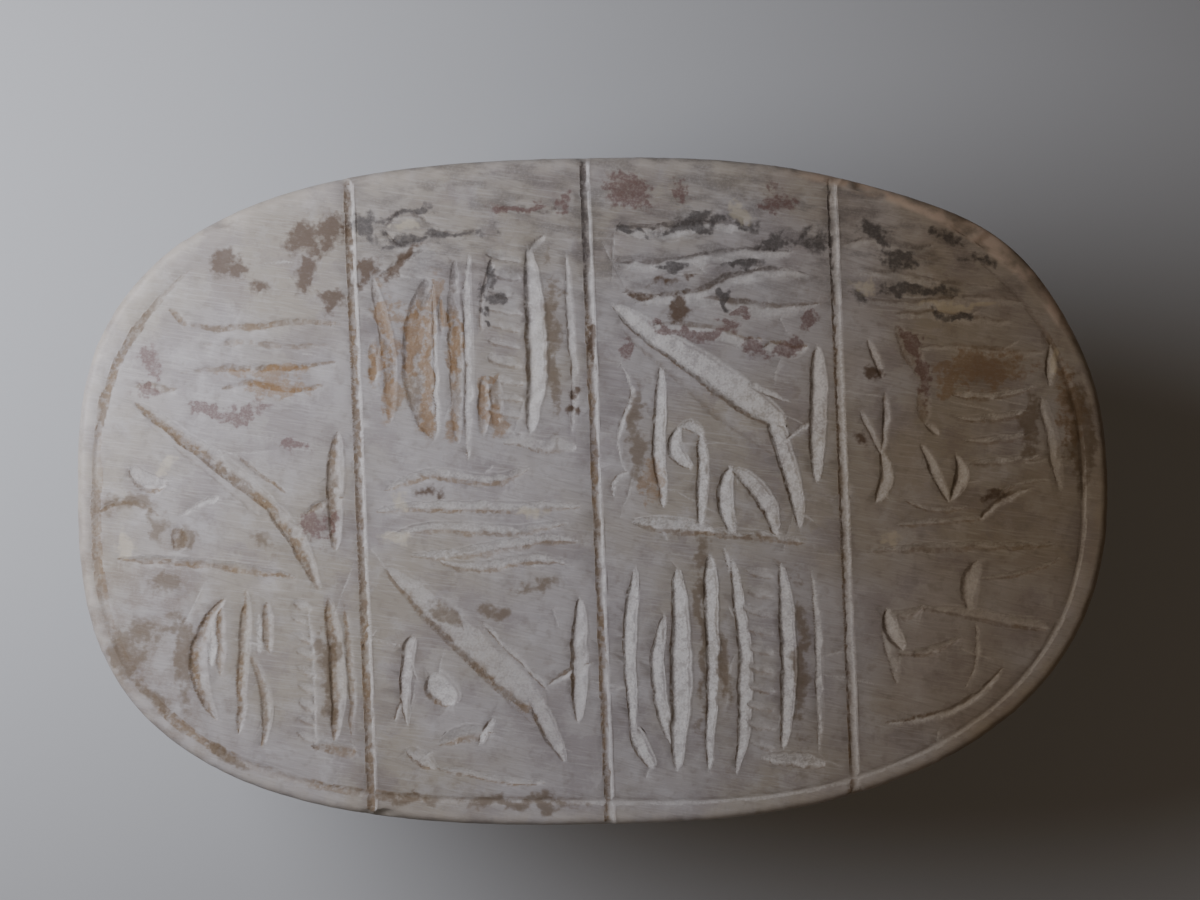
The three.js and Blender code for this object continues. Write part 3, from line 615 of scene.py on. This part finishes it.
def eye(side):
    turn = np.linspace(0, np.pi, 18)[1:-1, None]
    round_ = np.linspace(0, 2 * np.pi, 28, endpoint=False)[None]
    x = 3.1 * np.cos(turn) + 0 * round_
    y, z = 2.1 * np.sin(turn) * np.cos(round_), 2.5 * np.sin(turn) * np.sin(round_)
    c, s = math.cos(-0.35 * side), math.sin(-0.35 * side)
    rings = np.stack([37.5 + c * x - s * y, 11.2 * side + s * x + c * y, HEIGHT - 15 + z], -1)
    return solid(f"eye_{side}", *tube(rings))


def leg(number, marks, side):
    """A leg from hip through knee to foot, along a smooth curve through its marks (x, how deep, how far in),
    swelling at thigh and shin, with a row of notches along the shin."""
    marks = np.array([(x, side * oval_half_width(x, inset), HEIGHT - deep) for x, deep, inset in marks])
    ends = np.concatenate([[2 * marks[0] - marks[1]], marks, [2 * marks[-1] - marks[-2]]])
    t = np.linspace(0, 3, 97)
    i = np.minimum(t.astype(int), 2)
    f = (t - i)[:, None]
    a, b, c, d = (ends[i + k] for k in range(4))
    path = 0.5 * (2 * b + (c - a) * f + (2 * a - 5 * b + 4 * c - d) * f**2 + (3 * b - a - 3 * c + d) * f**3)
    along = np.gradient(path, axis=0)
    along /= np.linalg.norm(along, axis=1)[:, None]
    across = np.cross([0, 0, 1], along)
    across /= np.linalg.norm(across, axis=1)[:, None]
    up = np.cross(along, across)
    share = t / 3
    radius = np.interp(share, [0, 0.25, 0.5, 0.72, 1], [2.2, 3.3, 2.3, 2.7, 1.3])
    radius = np.convolve(np.pad(radius, 6, "edge"), np.ones(13) / 13, "valid")
    notches = smooth(0.5, 0.58, share) * (1 - smooth(0.88, 0.96, share))
    radius = radius * (1 - 0.10 * notches * np.abs(np.sin(share * 44)) ** 6)
    turn = np.linspace(0, 2 * np.pi, 24, endpoint=False)
    ring = across[:, None] * np.cos(turn)[:, None] + up[:, None] * np.sin(turn)[:, None]
    return solid(f"leg_{number}_{side}", *tube(path[:, None] + radius[:, None, None] * ring))


LEGS = [
    [(13, 17.5, 9.5), (25, 16, 5.4), (38, 12.6, 4.6), (47.5, 10.4, 4.2)],
    [(12, 18, 9.5), (3, 16.6, 5.4), (-6, 13.4, 4.7), (-15, 10.6, 4.2)],
    [(-9, 18, 9.5), (-20, 16.8, 5.6), (-31, 13.8, 4.9), (-42, 10.6, 4.4)],
]


def dome_deep(d, x, y):
    reach = np.where(x > d.x, d.head, d.tail)
    oval = np.abs((x - d.x) / reach) ** BODY_BLUNT + np.abs(y / d.side) ** BODY_BLUNT
    share = np.minimum(1, oval ** (1 / BODY_BLUNT))
    return d.start + d.rise * (1 - share**DOME_BLUNT) ** (1 / DOME_BLUNT)


def back_lines():
    """The lines cut into the beetle's back, each as points close together, with its half-width and depth."""

    def on_back(x, y):
        deep = np.minimum(HEIGHT, np.maximum(dome_deep(WING_CASES, x, y), dome_deep(THORAX, x, y)))
        return np.stack([x, y, HEIGHT - deep], -1)

    y = np.linspace(-28.2, 28.2, 400)
    t = np.sin(np.linspace(0, np.pi / 2, 300))
    lines = [
        (on_back(7 + 4.5 * (y / 28) ** 2, y), 1.0, 0.85),
        (on_back(9.6 + 4.5 * (y / 28) ** 2, y), 0.7, 0.5),
        (on_back(7.5 - 55.1 * t, 0 * t), 1.0, 0.85),
    ]
    turn = np.linspace(0.42, 0.985, 400) * np.pi
    reach = np.where(np.cos(turn) > 0, WING_CASES.head, WING_CASES.tail)
    c, s = np.cos(turn), np.sin(turn)
    along, across = np.abs(c / reach) ** BODY_BLUNT, np.abs(s / WING_CASES.side) ** BODY_BLUNT
    r = 0.915 * (along + across) ** (-1 / BODY_BLUNT)
    t = np.linspace(0, 1, 60)
    for side in (-1, 1):
        lines.append((on_back(WING_CASES.x + r * c, side * r * s), 0.75, 0.55))
        for start in (13, 20.5):
            lines.append((on_back(3.6 - 8.1 * t, side * (start + (17 - start) * t)), 0.8, 0.6))
    return lines


# ---------------------------------------------------------------- joining and finishing
def apply(obj, kind, **settings):
    """Applies one modifier to an object's mesh."""
    modifier = obj.modifiers.new(kind.lower(), kind)
    for name, value in settings.items():
        setattr(modifier, name, value)
    graph = bpy.context.evaluated_depsgraph_get()
    mesh = bpy.data.meshes.new_from_object(obj.evaluated_get(graph))
    obj.modifiers.clear()
    obj.data = mesh


def join(body, other, operation="UNION"):
    apply(body, "BOOLEAN", object=other, operation=operation, solver="MANIFOLD")
    bpy.data.objects.remove(other)


def floor_block():
    x, y = 2 * LENGTH, 2 * WIDTH
    corners = np.array([(-x, -y), (x, -y), (x, y), (-x, y)], float)
    rings = np.array([np.column_stack([corners, np.full(4, z)]) for z in (-20.0, 0.0)])
    return solid("floor_block", *tube(rings))


def vectors(mesh, collection, attribute):
    values = np.empty(len(getattr(mesh, collection)) * 3, np.float32)
    getattr(mesh, collection).foreach_get(attribute, values)
    return values.reshape(-1, 3).astype(float)


def cut_back_lines(obj):
    """Moves the points near each line of the back inwards, most on the line itself."""
    points = vectors(obj.data, "vertices", "co") * 1000
    normals = vectors(obj.data, "vertices", "normal")
    inward = np.zeros(len(points))
    low = np.flatnonzero(points[:, 2] < HEIGHT - LIP + 1)
    for line, half, depth in back_lines():
        nearest = np.full(len(low), 99.0)
        for part in np.array_split(line, 40):
            gap = np.linalg.norm(points[low, None] - part[None], axis=2).min(1)
            nearest = np.minimum(nearest, gap)
        inward[low] = np.maximum(inward[low], depth * np.clip(1 - nearest / half, 0, 1))
    points -= normals * inward[:, None]
    points[:, 2] = np.maximum(points[:, 2], 0)
    obj.data.vertices.foreach_set("co", (points / 1000).astype(np.float32).ravel())
    obj.data.update()


def scarab():
    beetle = dome("scarab_stone", WING_CASES, LIP, 190, 150)
    join(beetle, dome("thorax", THORAX, LIP, 150, 150))
    join(beetle, floor_block(), "DIFFERENCE")
    cut_back_lines(beetle)
    join(beetle, dome("head", HEAD, PLATE + 1.5, 70, 70))
    join(beetle, forehead())
    for side in (-1, 1):
        join(beetle, eye(side))
        for number, marks in enumerate(LEGS):
            join(beetle, leg(number, marks, side))
    join(beetle, plate())
    beetle.data.calc_loop_triangles()
    keep_detail(beetle)
    ratio = TRIANGLES / len(beetle.data.loop_triangles)
    group = {"vertex_group": "keep", "invert_vertex_group": True, "vertex_group_factor": KEEP}
    apply(beetle, "DECIMATE", ratio=ratio, **group)
    beetle.data.shade_smooth()
    mark_surface(beetle.data)
    return beetle


def stain_fields(x, y):
    """For each colour of stain, a field that is 1 well inside its patches and falls to 0 outside them."""
    wx = x + 0.5 * noise(x, y, 1.7, 31) + 0.25 * noise(x, y, 0.7, 32)
    wy = y + 0.5 * noise(x, y, 1.7, 33) + 0.25 * noise(x, y, 0.7, 34)
    fields = {}
    for code, places in STAINS.items():
        field = np.zeros_like(x)
        for cx, cy, half_width, half_height, turn in places:
            c, s = math.cos(math.radians(turn)), math.sin(math.radians(turn))
            u, v = (c * (wx - cx) + s * (wy - cy)) / half_width, (c * (wy - cy) - s * (wx - cx)) / half_height
            field = np.maximum(field, np.clip(1.5 - np.hypot(u, v), 0, 1))
        fields[code] = field
    return fields


def keep_detail(obj):
    """Marks the points in and near the stains by half, so that thinning out the mesh takes some, yet leaves
    enough of them."""
    points = vectors(obj.data, "vertices", "co") * 1000
    face = np.flatnonzero(points[:, 2] > HEIGHT - 0.5)
    field = np.max(list(stain_fields(points[face, 0], points[face, 1]).values()), axis=0)
    group = obj.vertex_groups.new(name="keep")
    group.add(face[(field > 0.02) & (field < 1)].tolist(), 0.5, "REPLACE")


def mark_surface(mesh):
    """Stores what the stone looks like at each point: white where a cut is fresh, with painted light where
    its side faces the light, dirt where it isn't, with painted shade on the steep sides turned away from the
    light, rim close to the face's edge, and hollow where the surface lies below its surroundings, which the
    shader darkens partly as painted shade."""
    points, normals = vectors(mesh, "vertices", "co") * 1000, vectors(mesh, "vertices", "normal")
    white, dirt, rim = (np.zeros(len(points)) for _ in range(3))
    x, y = points[:, 0], points[:, 1]
    angle, radius = np.arctan2(y, x), np.hypot(x, y)
    inside = oval_radius(angle) - radius
    face = np.flatnonzero((points[:, 2] > HEIGHT - 1.5) & (normals[:, 2] > 0.2) & (inside > 0.5))
    _, white[face], dirt[face] = engraving(x[face], y[face], angle[face], radius[face])
    top = points[:, 2] > HEIGHT - 1.3
    rim[top] = smooth(2.6, 0.4, inside[top])
    edges = np.empty(len(mesh.edges) * 2, np.int32)
    mesh.edges.foreach_get("vertices", edges)
    a, b = edges[::2], edges[1::2]
    count = np.bincount(a, minlength=len(points)) + np.bincount(b, minlength=len(points))
    even = points.copy()
    for _ in range(12):
        even = np.stack(
            [
                (np.bincount(a, even[b, k], len(points)) + np.bincount(b, even[a, k], len(points))) / count
                for k in range(3)
            ],
            -1,
        )
    hollow = np.clip(((even - points) * normals).sum(1) / 0.35, 0, 1)
    marks = [("white", white), ("dirt", dirt), ("rim", rim), ("hollow", hollow)]
    marks += [("stain_" + code[1:], field) for code, field in stain_fields(x, y).items()]
    for name, values in marks:
        mesh.attributes.new(name, "FLOAT", "POINT").data.foreach_set("value", values.astype(np.float32))


# ---------------------------------------------------------------- stone
def colour(hex_code):
    """A shader colour from an sRGB hex code."""
    parts = [int(hex_code[i : i + 2], 16) / 255 for i in (1, 3, 5)]
    return (*(p / 12.92 if p <= 0.04045 else ((p + 0.055) / 1.055) ** 2.4 for p in parts), 1)


def node(tree, kind, inputs=(), **settings):
    """Adds a node with its settings, and links or sets its inputs, given by name or number."""
    made = tree.nodes.new(kind)
    for name, value in settings.items():
        setattr(made, name, value)
    for key, value in dict(inputs).items():
        if isinstance(value, bpy.types.NodeSocket):
            tree.links.new(value, made.inputs[key])
        else:
            made.inputs[key].default_value = value
    return made


# Marks on the face, by colour: each is (x, y, half-width, half-height, turn in degrees) in millimetres.
STAINS = {
    "#5c4836": [
        (-28.9, 26.3, 1.8, 1.5, 0), (-25.8, 26.9, 1.6, 1.9, 0),
        (-27.4, 25.2, 1.2, 0.8, 30), (-28.7, 22.5, 1.0, 1.9, 0),
        (-25.9, 19.8, 1.2, 0.8, -20), (-36.3, 23.3, 1.7, 1.2, -35),
        (-33.6, 21.4, 1.2, 0.6, -20), (-19, 23.6, 2.6, 0.45, 38),
        (-22.3, 22.6, 0.9, 1.3, -20), (5, 20, 1.8, 0.6, -15), (9, 18.6, 1.0, 1.1, 30),
        (8.5, 21.2, 2.6, 0.35, 5), (-16, 0.0, 1.6, 0.4, -10), (-1.5, 10.5, 0.45, 0.8, 0),
        (-1.6, 8.6, 0.5, 0.5, 0), (28.2, 11.6, 0.9, 0.7, -40), (27.4, 5.2, 0.5, 0.9, 20),
        (40.6, -1.0, 1.2, 0.6, 20), (0.1, 15, 0.3, 2.4, 0),
    ],
    "#4c4745": [
        (-22.9, 27.4, 1.0, 1.4, 0), (-18.8, 25.7, 2.6, 0.45, 8), (-13.5, 26.7, 2.6, 0.45, 0),
        (-20.8, 27.0, 0.5, 1.4, 25), (-18, 28.8, 2.8, 0.35, 8), (-8.8, 26.9, 0.8, 0.3, 0),
        (11, 26.8, 3.6, 0.7, 5), (4.4, 26.4, 1.6, 0.3, -25), (16, 26.2, 1.2, 0.3, -10),
        (19, 24.8, 1.8, 0.7, 0), (22.6, 25, 1.6, 0.9, 20),
        (8, 22.4, 1.4, 0.4, 0), (15.5, 22.5, 2.0, 0.35, 0),
        (-10.3, 21.6, 0.35, 2.4, -14), (-9.6, 19.8, 0.9, 0.6, 0), (-10.8, 17.5, 0.25, 1.4, 0),
        (31.5, 23.2, 2.4, 0.8, -10), (33, 20, 3.6, 0.6, -6),
        (29, 25.5, 1.4, 0.7, -20), (36, 25.4, 2.0, 0.4, -20),
        (39.5, 23, 1.6, 0.35, -10), (37, 17.2, 2.0, 0.5, -8),
        (27.3, 19.6, 0.5, 1.0, 30), (13.4, 19.4, 0.4, 0.8, 0),
    ],
    "#6b4d48": [
        (4.2, 30, 2.6, 1.5, -20), (9.6, 30, 0.6, 1.0, 20),
        (19.5, 28.8, 1.6, 0.9, 0), (-7.5, 28.5, 1.8, 0.4, -5),
        (-4.8, 28.7, 0.7, 0.4, 30), (-2.6, 29.2, 0.5, 1.1, -20), (12.8, 16.3, 1.6, 0.9, 10),
        (16.2, 14.6, 1.3, 0.6, -30), (19.8, 14.2, 2.2, 0.6, 12),
        (9, 16.1, 2.2, 0.45, -15), (3.9, 14.3, 0.5, 0.8, 0),
        (22.6, 17, 0.6, 1.0, -10), (15.0, 18.0, 1.6, 0.3, -10),
        (-30.3, 5.1, 1.6, 0.6, 8), (-38.5, 9, 2.2, 0.6, -25),
        (-36, 7.9, 2.6, 0.5, -5), (-34.6, 8.9, 0.7, 1.3, -30),
        (-44.6, 14.4, 0.9, 1.5, 35), (-44.7, 11.4, 0.9, 0.8, 0),
        (-28.2, -2.8, 1.6, 1.2, 0), (32.3, 14.6, 0.5, 2.0, 35), (33.8, 11, 0.6, 2.8, 10),
    ],
    "#8a6a42": [
        (-22, 13.6, 0.6, 1.8, 0), (-20.6, 17.5, 0.7, 3.4, 5),
        (-20.1, 10, 0.7, 2.4, 0), (-18.0, 15.5, 0.9, 3.6, -8),
        (-16.3, 12.6, 0.6, 3.6, 0), (-16.8, 8.2, 0.6, 2.2, 10),
        (-16.1, 20, 0.5, 1.8, -12), (-13.8, 14.6, 0.6, 3.2, 0),
        (-13.9, 7, 0.6, 1.8, 0), (-10.8, 9.0, 0.5, 2.6, 0),
        (-9.8, 7.2, 1.2, 1.3, 0), (-9.9, 11.8, 0.9, 0.4, 10),
        (-33, 12.8, 4.0, 0.5, 2), (-31.5, 11.2, 3.0, 0.9, 2),
        (-15, 18.3, 0.3, 1.3, 0), (36.5, 9.5, 1.2, 0.3, -15),
        (6, 1.5, 0.9, 1.8, 0), (-16.4, 16, 0.5, 3, 0), (6.2, -0.5, 0.8, 0.8, 0),
        (40, 11.6, 4.2, 1.7, 0), (48.5, 7, 1.0, 4, 5),
    ],
    "#6d5c46": [
        (-41.9, -4.2, 1.1, 1.2, 0), (-43.5, -8.4, 2.0, 0.8, 10), (-47, -0.4, 3.2, 0.7, 0),
        (-44.2, -2.5, 0.5, 1.8, 0), (-45.8, -14, 1.2, 1.5, 0),
        (-41.8, -16, 0.9, 5.0, 4), (-44.6, -20.3, 2.6, 0.6, -48),
        (-47.5, -16, 1.2, 2.6, 25), (-33.6, -4.8, 1.0, 0.6, -40),
        (-10.5, -12, 1.1, 0.7, 0), (-15, -12.3, 1.8, 0.8, -40),
        (-5.8, -9.4, 2.4, 0.6, 10), (4.5, 5.5, 0.9, 4.5, 0),
        (-37, -26.4, 2.4, 0.5, -32), (-8, -31.5, 6.0, 0.5, 0),
        (-20, -31, 3.0, 0.5, 0), (11, -6.4, 0.9, 1.6, 0), (44.5, 6, 1.0, 2.8, 0), (49.5, 5, 1.4, 5, 5),
        (20.8, -17, 0.7, 8, 0), (-3.7, 15, 0.7, 8, 0), (-27.2, -18, 0.6, 5, 4),
        (10.5, -16, 0.4, 8, 0), (13, -18, 0.6, 4, 10),
    ],
    "#d2c8b0": [
        (34.5, 28.7, 1.8, 0.5, -18), (41.6, 25.6, 1.5, 0.7, -38),
        (28, 20.4, 1.1, 0.8, 0), (15.3, 28, 0.7, 1.6, 20),
        (30, -5.4, 0.7, 0.9, 0), (-39, -27.4, 0.8, 0.3, -35),
        (-19.3, -0.6, 1.0, 0.9, 0), (-20, -4.2, 1.4, 0.6, 0),
        (-6.2, -1.9, 1.0, 0.5, 0), (-47.5, -4.9, 1.3, 0.8, 0),
        (-18.5, 27.3, 1.2, 0.5, 0), (37, 18.2, 4.0, 0.4, -4),
        (47.2, 12.5, 0.4, 1.8, -5), (-43.3, 3.6, 1.2, 0.8, 30),
    ],
}
# how strong each colour is, and how small the spots are that it breaks up into
STRENGTH = {
    "#5c4836": (0.9, 0.1), "#4c4745": (0.85, 0.3), "#6b4d48": (0.75, 0.6), "#8a6a42": (0.6, 0.5),
    "#6d5c46": (0.7, 0.1), "#d2c8b0": (0.45, 0.2),
}


def soapstone():
    """Soapstone: rubbed smooth, lilac-grey and beige. It is whitish and rough where it is cut, with painted
    light on the sides of the cuts that face the light, brown where deposits have stayed in the cuts, with
    painted shade on their steep sides, and ochre on the worn wall near the head. The rim carries a painted
    highlight, the piece darkens towards the head partly by painted shade, and the beetle's hollows carry
    painted shade."""
    material = bpy.data.materials.new("soapstone")
    material.use_nodes = True
    tree = material.node_tree
    tree.nodes.clear()

    def maths(operation, a, b=0.0, clamp=False):
        return node(tree, "ShaderNodeMath", {0: a, 1: b}, operation=operation, use_clamp=clamp).outputs[0]

    def ramp(value, low, high, start=0.0, end=1.0):
        inputs = {0: value, 1: low, 2: high, 3: start, 4: end}
        return node(tree, "ShaderNodeMapRange", inputs, interpolation_type="SMOOTHSTEP").outputs[0]

    def mix(share, a, b, blend="MIX"):
        made = node(tree, "ShaderNodeMix", {0: share, 6: a, 7: b}, data_type="RGBA", blend_type=blend)
        return made.outputs[2]

    def grain(size, detail=2.0, stretch=(1, 1, 1), turn=0.0, where=None):
        """Noise with features about size millimetres across, stretched along X, Y and Z."""
        scale = tuple(size * k for k in stretch)
        inputs = {0: where or place, 2: (0, 0, math.radians(turn)), 3: scale}
        spot = node(tree, "ShaderNodeMapping", inputs, vector_type="TEXTURE").outputs[0]
        return node(tree, "ShaderNodeTexNoise", {0: spot, "Scale": 1.0, "Detail": detail}).outputs[0]

    def attribute(name):
        return node(tree, "ShaderNodeAttribute", attribute_name=name).outputs["Fac"]

    def product(*values):
        result = values[0]
        for value in values[1:]:
            result = maths("MULTIPLY", result, value)
        return result

    metres = node(tree, "ShaderNodeTexCoord").outputs["Object"]
    place = node(tree, "ShaderNodeVectorMath", {0: metres, "Scale": 1000.0}, operation="SCALE").outputs[0]
    x, y, z = node(tree, "ShaderNodeSeparateXYZ", {0: place}).outputs
    normal = node(tree, "ShaderNodeNewGeometry").outputs["Normal"]
    up = node(tree, "ShaderNodeSeparateXYZ", {0: normal}).outputs[2]
    top = product(ramp(z, HEIGHT - 1.8, HEIGHT - 1.2), ramp(up, 0.0, 0.25))
    white, dirt, rim, hollow = (attribute(name) for name in ("white", "dirt", "rim", "hollow"))

    coarse = node(tree, "ShaderNodeTexNoise", {0: place, "Scale": 0.8, "Detail": 2.0}).outputs["Color"]
    fine = node(tree, "ShaderNodeTexNoise", {0: place, "Scale": 3.5, "Detail": 2.0}).outputs["Color"]
    warped = place
    for wave, reach in ((coarse, 2.2), (fine, 1.3)):
        centred = {0: wave, 1: (0.5, 0.5, 0.5)}
        shift = node(tree, "ShaderNodeVectorMath", centred, operation="SUBTRACT").outputs[0]
        shift = node(tree, "ShaderNodeVectorMath", {0: shift, "Scale": reach}, operation="SCALE").outputs[0]
        warped = node(tree, "ShaderNodeVectorMath", {0: warped, 1: shift}, operation="ADD").outputs[0]

    # the stone itself: broad lilac-grey and beige fields, paler veins, fine speckle, and rubbed streaks
    body = mix(ramp(grain(16, 3), 0.38, 0.62), colour("#aca7a6"), colour("#a39b90"))
    body = mix(ramp(grain(3.2, 4, where=warped), 0.45, 0.75, 0, 0.5), body, colour("#bdbabb"))
    body = mix(ramp(grain(4.5, 6, where=warped), 0.46, 0.66, 0, 0.5), body, colour("#8b8283"))
    body = mix(ramp(grain(0.9, 4), 0.5, 0.75, 0, 0.35), body, colour("#80766d"))
    body = mix(ramp(grain(0.16, 2, (26, 1, 1), -8), 0.5, 0.7, 0, 0.25), body, colour("#c9c6c4"))
    body = mix(ramp(grain(0.2, 2, (30, 1, 1), -18), 0.5, 0.7, 0, 0.2), body, colour("#7c736c"))

    patchy = ramp(maths("ADD", grain(1.6, 6), grain(0.5, 4)), 0.75, 1.25)
    speck = grain(0.22, 3)
    speckle = ramp(speck, 0.3, 0.6, 0.55, 1)
    sooty = product(ramp(y, 14, 24), ramp(x, -27, -20), top)

    # the rim: painted pale, a painted highlight where the rounded edge catches the light, and ochre on the
    # wall where it stands out
    body = mix(product(rim, ramp(grain(2.0, 3), 0.35, 0.65, 0.2, 0.6)), body, colour("#c2bab0"))
    corner_only = ramp(rim, 0.5, 0.95), ramp(x, 16, 28), ramp(y, 12, 18)
    bare = product(*corner_only, ramp(grain(2.2, 5), 0.35, 0.62, 0.15, 1))
    wall = product(ramp(z, HEIGHT - 0.5, HEIGHT - 1.2), ramp(z, HEIGHT - PLATE - 1, HEIGHT - PLATE + 1))
    ochre = product(wall, ramp(x, 8, 30), ramp(grain(2.5, 4), 0.3, 0.6, 0.3, 0.9))
    body = mix(ochre, body, colour("#7d6549"))

    # cuts: whitish broad sides, fresh stone with painted light where they face the light, and brown deposits
    # with painted shade in the steep sides, which are turned away from it
    dirt_and_shade_mask = product(dirt, ramp(grain(0.5, 4), 0.35, 0.58, 0.4, 1.0))
    dirt_and_shade_brown = mix(ramp(grain(5, 3), 0.4, 0.6), colour("#7d6d5c"), colour("#857056"))
    dirt_and_shade_brown = mix(sooty, dirt_and_shade_brown, colour("#5c534e"))
    body = mix(dirt_and_shade_mask, body, mix(attribute("stain_8a6a42"), dirt_and_shade_brown, colour("#8a6a42")))
    fresh_and_lit = product(white, ramp(maths("ADD", grain(0.9, 3), grain(0.22, 3)), 0.75, 1.15, 0.3, 1.0))
    body = mix(fresh_and_lit, body, colour("#d2cfcc"))

    # soot, grime and the stains lie over everything
    soot = product(sooty, ramp(grain(1.3, 5, (2.6, 1, 1), -5), 0.42, 0.62))
    body = mix(product(soot, speckle, 0.45), body, colour("#57514f"))
    grime = product(ramp(x, -34, -44), ramp(y, 0, -7), ramp(grain(2.2, 4), 0.4, 0.6))
    body = mix(product(grime, speckle, top, 0.4), body, colour("#786554"))
    for code, (strength, spotty) in STRENGTH.items():
        field = attribute("stain_" + code[1:])
        wave = product(maths("SUBTRACT", patchy, 0.5), 0.5 + 0.5 * spotty)
        broken = ramp(maths("ADD", field, wave), 0.15, 0.95 - 0.25 * spotty)
        spots = ramp(speck, 0.3, 0.6, 1 - 0.6 * spotty, 1)
        body = mix(product(broken, ramp(field, 0, 0.35), spots, top, strength), body, colour(code))

    # the whole piece is yellower and darker towards the head, partly a tint of the stone and partly painted
    # shade where the light falls off away from the lamp
    headward_tint_and_shade = product(ramp(x, 8, 40, 0, 0.95), ramp(grain(11, 3), 0.3, 0.6, 0.75, 1))
    body = mix(headward_tint_and_shade, body, colour("#d2c2a8"), "MULTIPLY")

    body = mix(bare, body, colour("#c0a892"))

    # the beetle: a mottled brownish tone, and dark brown where the surface lies low, deposits together with
    # painted shade in its hollows
    under = ramp(z, HEIGHT - PLATE + 1, HEIGHT - PLATE - 1)
    body = mix(product(under, ramp(grain(6, 4), 0.35, 0.7, 0.1, 0.5)), body, colour("#8d7f70"))
    body = mix(product(under, hollow, ramp(grain(2.6, 5), 0.3, 0.65, 0.5, 0.95)), body, colour("#5c4f43"))

    streaks = maths("ADD", grain(0.14, 2, (30, 1, 1), -8), grain(0.18, 2, (26, 1, 1), -20))
    tooled = product(maths("MAXIMUM", white, maths("MAXIMUM", dirt_and_shade_mask, under)), grain(0.3, 4))
    height = maths("ADD", product(streaks, 0.4), product(tooled, 2.2))
    bump = node(tree, "ShaderNodeBump", {"Strength": 0.8, "Distance": 0.00004, "Height": height}).outputs[0]
    rubbed, cut = ramp(grain(1.5, 3), 0.3, 0.7, 0.42, 0.55), product(maths("MAXIMUM", white, dirt), 0.85)
    rough = maths("MAXIMUM", rubbed, cut)
    rough = maths("MAXIMUM", rough, product(under, 0.62))
    inputs = {"Base Color": body, "Roughness": rough, "Normal": bump, "Subsurface Weight": 0.06}
    shader = node(tree, "ShaderNodeBsdfPrincipled", inputs)
    shader.inputs["Subsurface Radius"].default_value = (0.8, 0.6, 0.5)
    shader.inputs["Subsurface Scale"].default_value = 0.001
    node(tree, "ShaderNodeOutputMaterial", {0: shader.outputs[0]})
    return material


# ---------------------------------------------------------------- scene
def area_light(name, place, target, size, power, tint):
    light = bpy.data.lights.new(name, "AREA")
    light.shape = "DISK"
    light.size = size
    light.energy = power
    light.color = colour(tint)[:3]
    obj = bpy.data.objects.new(name, light)
    bpy.context.scene.collection.objects.link(obj)
    obj.visible_camera = False
    obj.location = place
    aim = np.array(target) - np.array(place)
    yaw, tilt = math.atan2(aim[1], aim[0]), math.atan2(math.hypot(aim[0], aim[1]), -aim[2])
    obj.rotation_euler = (tilt, 0, yaw - math.pi / 2)
    return obj


def stage():
    mesh = bpy.data.meshes.new("floor")
    mesh.from_pydata([(-2, -2, 0), (2, -2, 0), (2, 2, 0), (-2, 2, 0)], [], [(0, 1, 2, 3)])
    floor = bpy.data.objects.new("floor", mesh)
    bpy.context.scene.collection.objects.link(floor)
    material = bpy.data.materials.new("pale_paper")  # the plain pale paper that the amulet lies on
    material.use_nodes = True
    shader = material.node_tree.nodes["Principled BSDF"]
    shader.inputs["Base Color"].default_value = colour("#c4c6c8")
    shader.inputs["Roughness"].default_value = 0.9
    mesh.materials.append(material)
    lights = [
        area_light("window", (-0.120, 0.045, 0.140), (-0.100, 0.035, 0.04), 0.12, 0.31, "#f6f7ff"),
        area_light("room", (0.25, -0.2, 0.35), (0, 0, 0.04), 0.3, 0.06, "#ffdcb8"),
    ]
    world = bpy.data.worlds.new("room")
    world.use_nodes = True
    world.node_tree.nodes["Background"].inputs[0].default_value = colour("#d8c8b4")
    world.node_tree.nodes["Background"].inputs[1].default_value = 0.075
    bpy.context.scene.world = world


def camera():
    """Looks straight down at the face. Its oval lies a little below the view's middle and turned by a
    degree."""
    data = bpy.data.cameras.new("camera")
    data.lens = 50
    obj = bpy.data.objects.new("camera", data)
    bpy.context.scene.collection.objects.link(obj)
    turn = math.radians(VIEW_TURN)
    x = VIEW_RIGHT * math.cos(turn) - VIEW_UP * math.sin(turn)
    y = VIEW_RIGHT * math.sin(turn) + VIEW_UP * math.cos(turn)
    obj.location = (x / 1000, y / 1000, VIEW_HEIGHT / 1000)
    obj.rotation_euler = (0, 0, turn)
    data.clip_start = 0.005
    bpy.context.scene.camera = obj


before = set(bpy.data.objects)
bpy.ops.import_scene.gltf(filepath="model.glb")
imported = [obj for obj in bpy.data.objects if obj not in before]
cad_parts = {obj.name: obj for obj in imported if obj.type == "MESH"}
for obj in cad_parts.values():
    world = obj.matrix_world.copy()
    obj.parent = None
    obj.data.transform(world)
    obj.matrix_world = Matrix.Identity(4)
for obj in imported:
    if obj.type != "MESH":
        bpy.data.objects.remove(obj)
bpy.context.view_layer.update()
stone = scarab()
stone.name = "scarab_stone"
stone.data.materials.clear()
stone.data.materials.append(soapstone())
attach(stone, "root")
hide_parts("scarab")
stage()
camera()
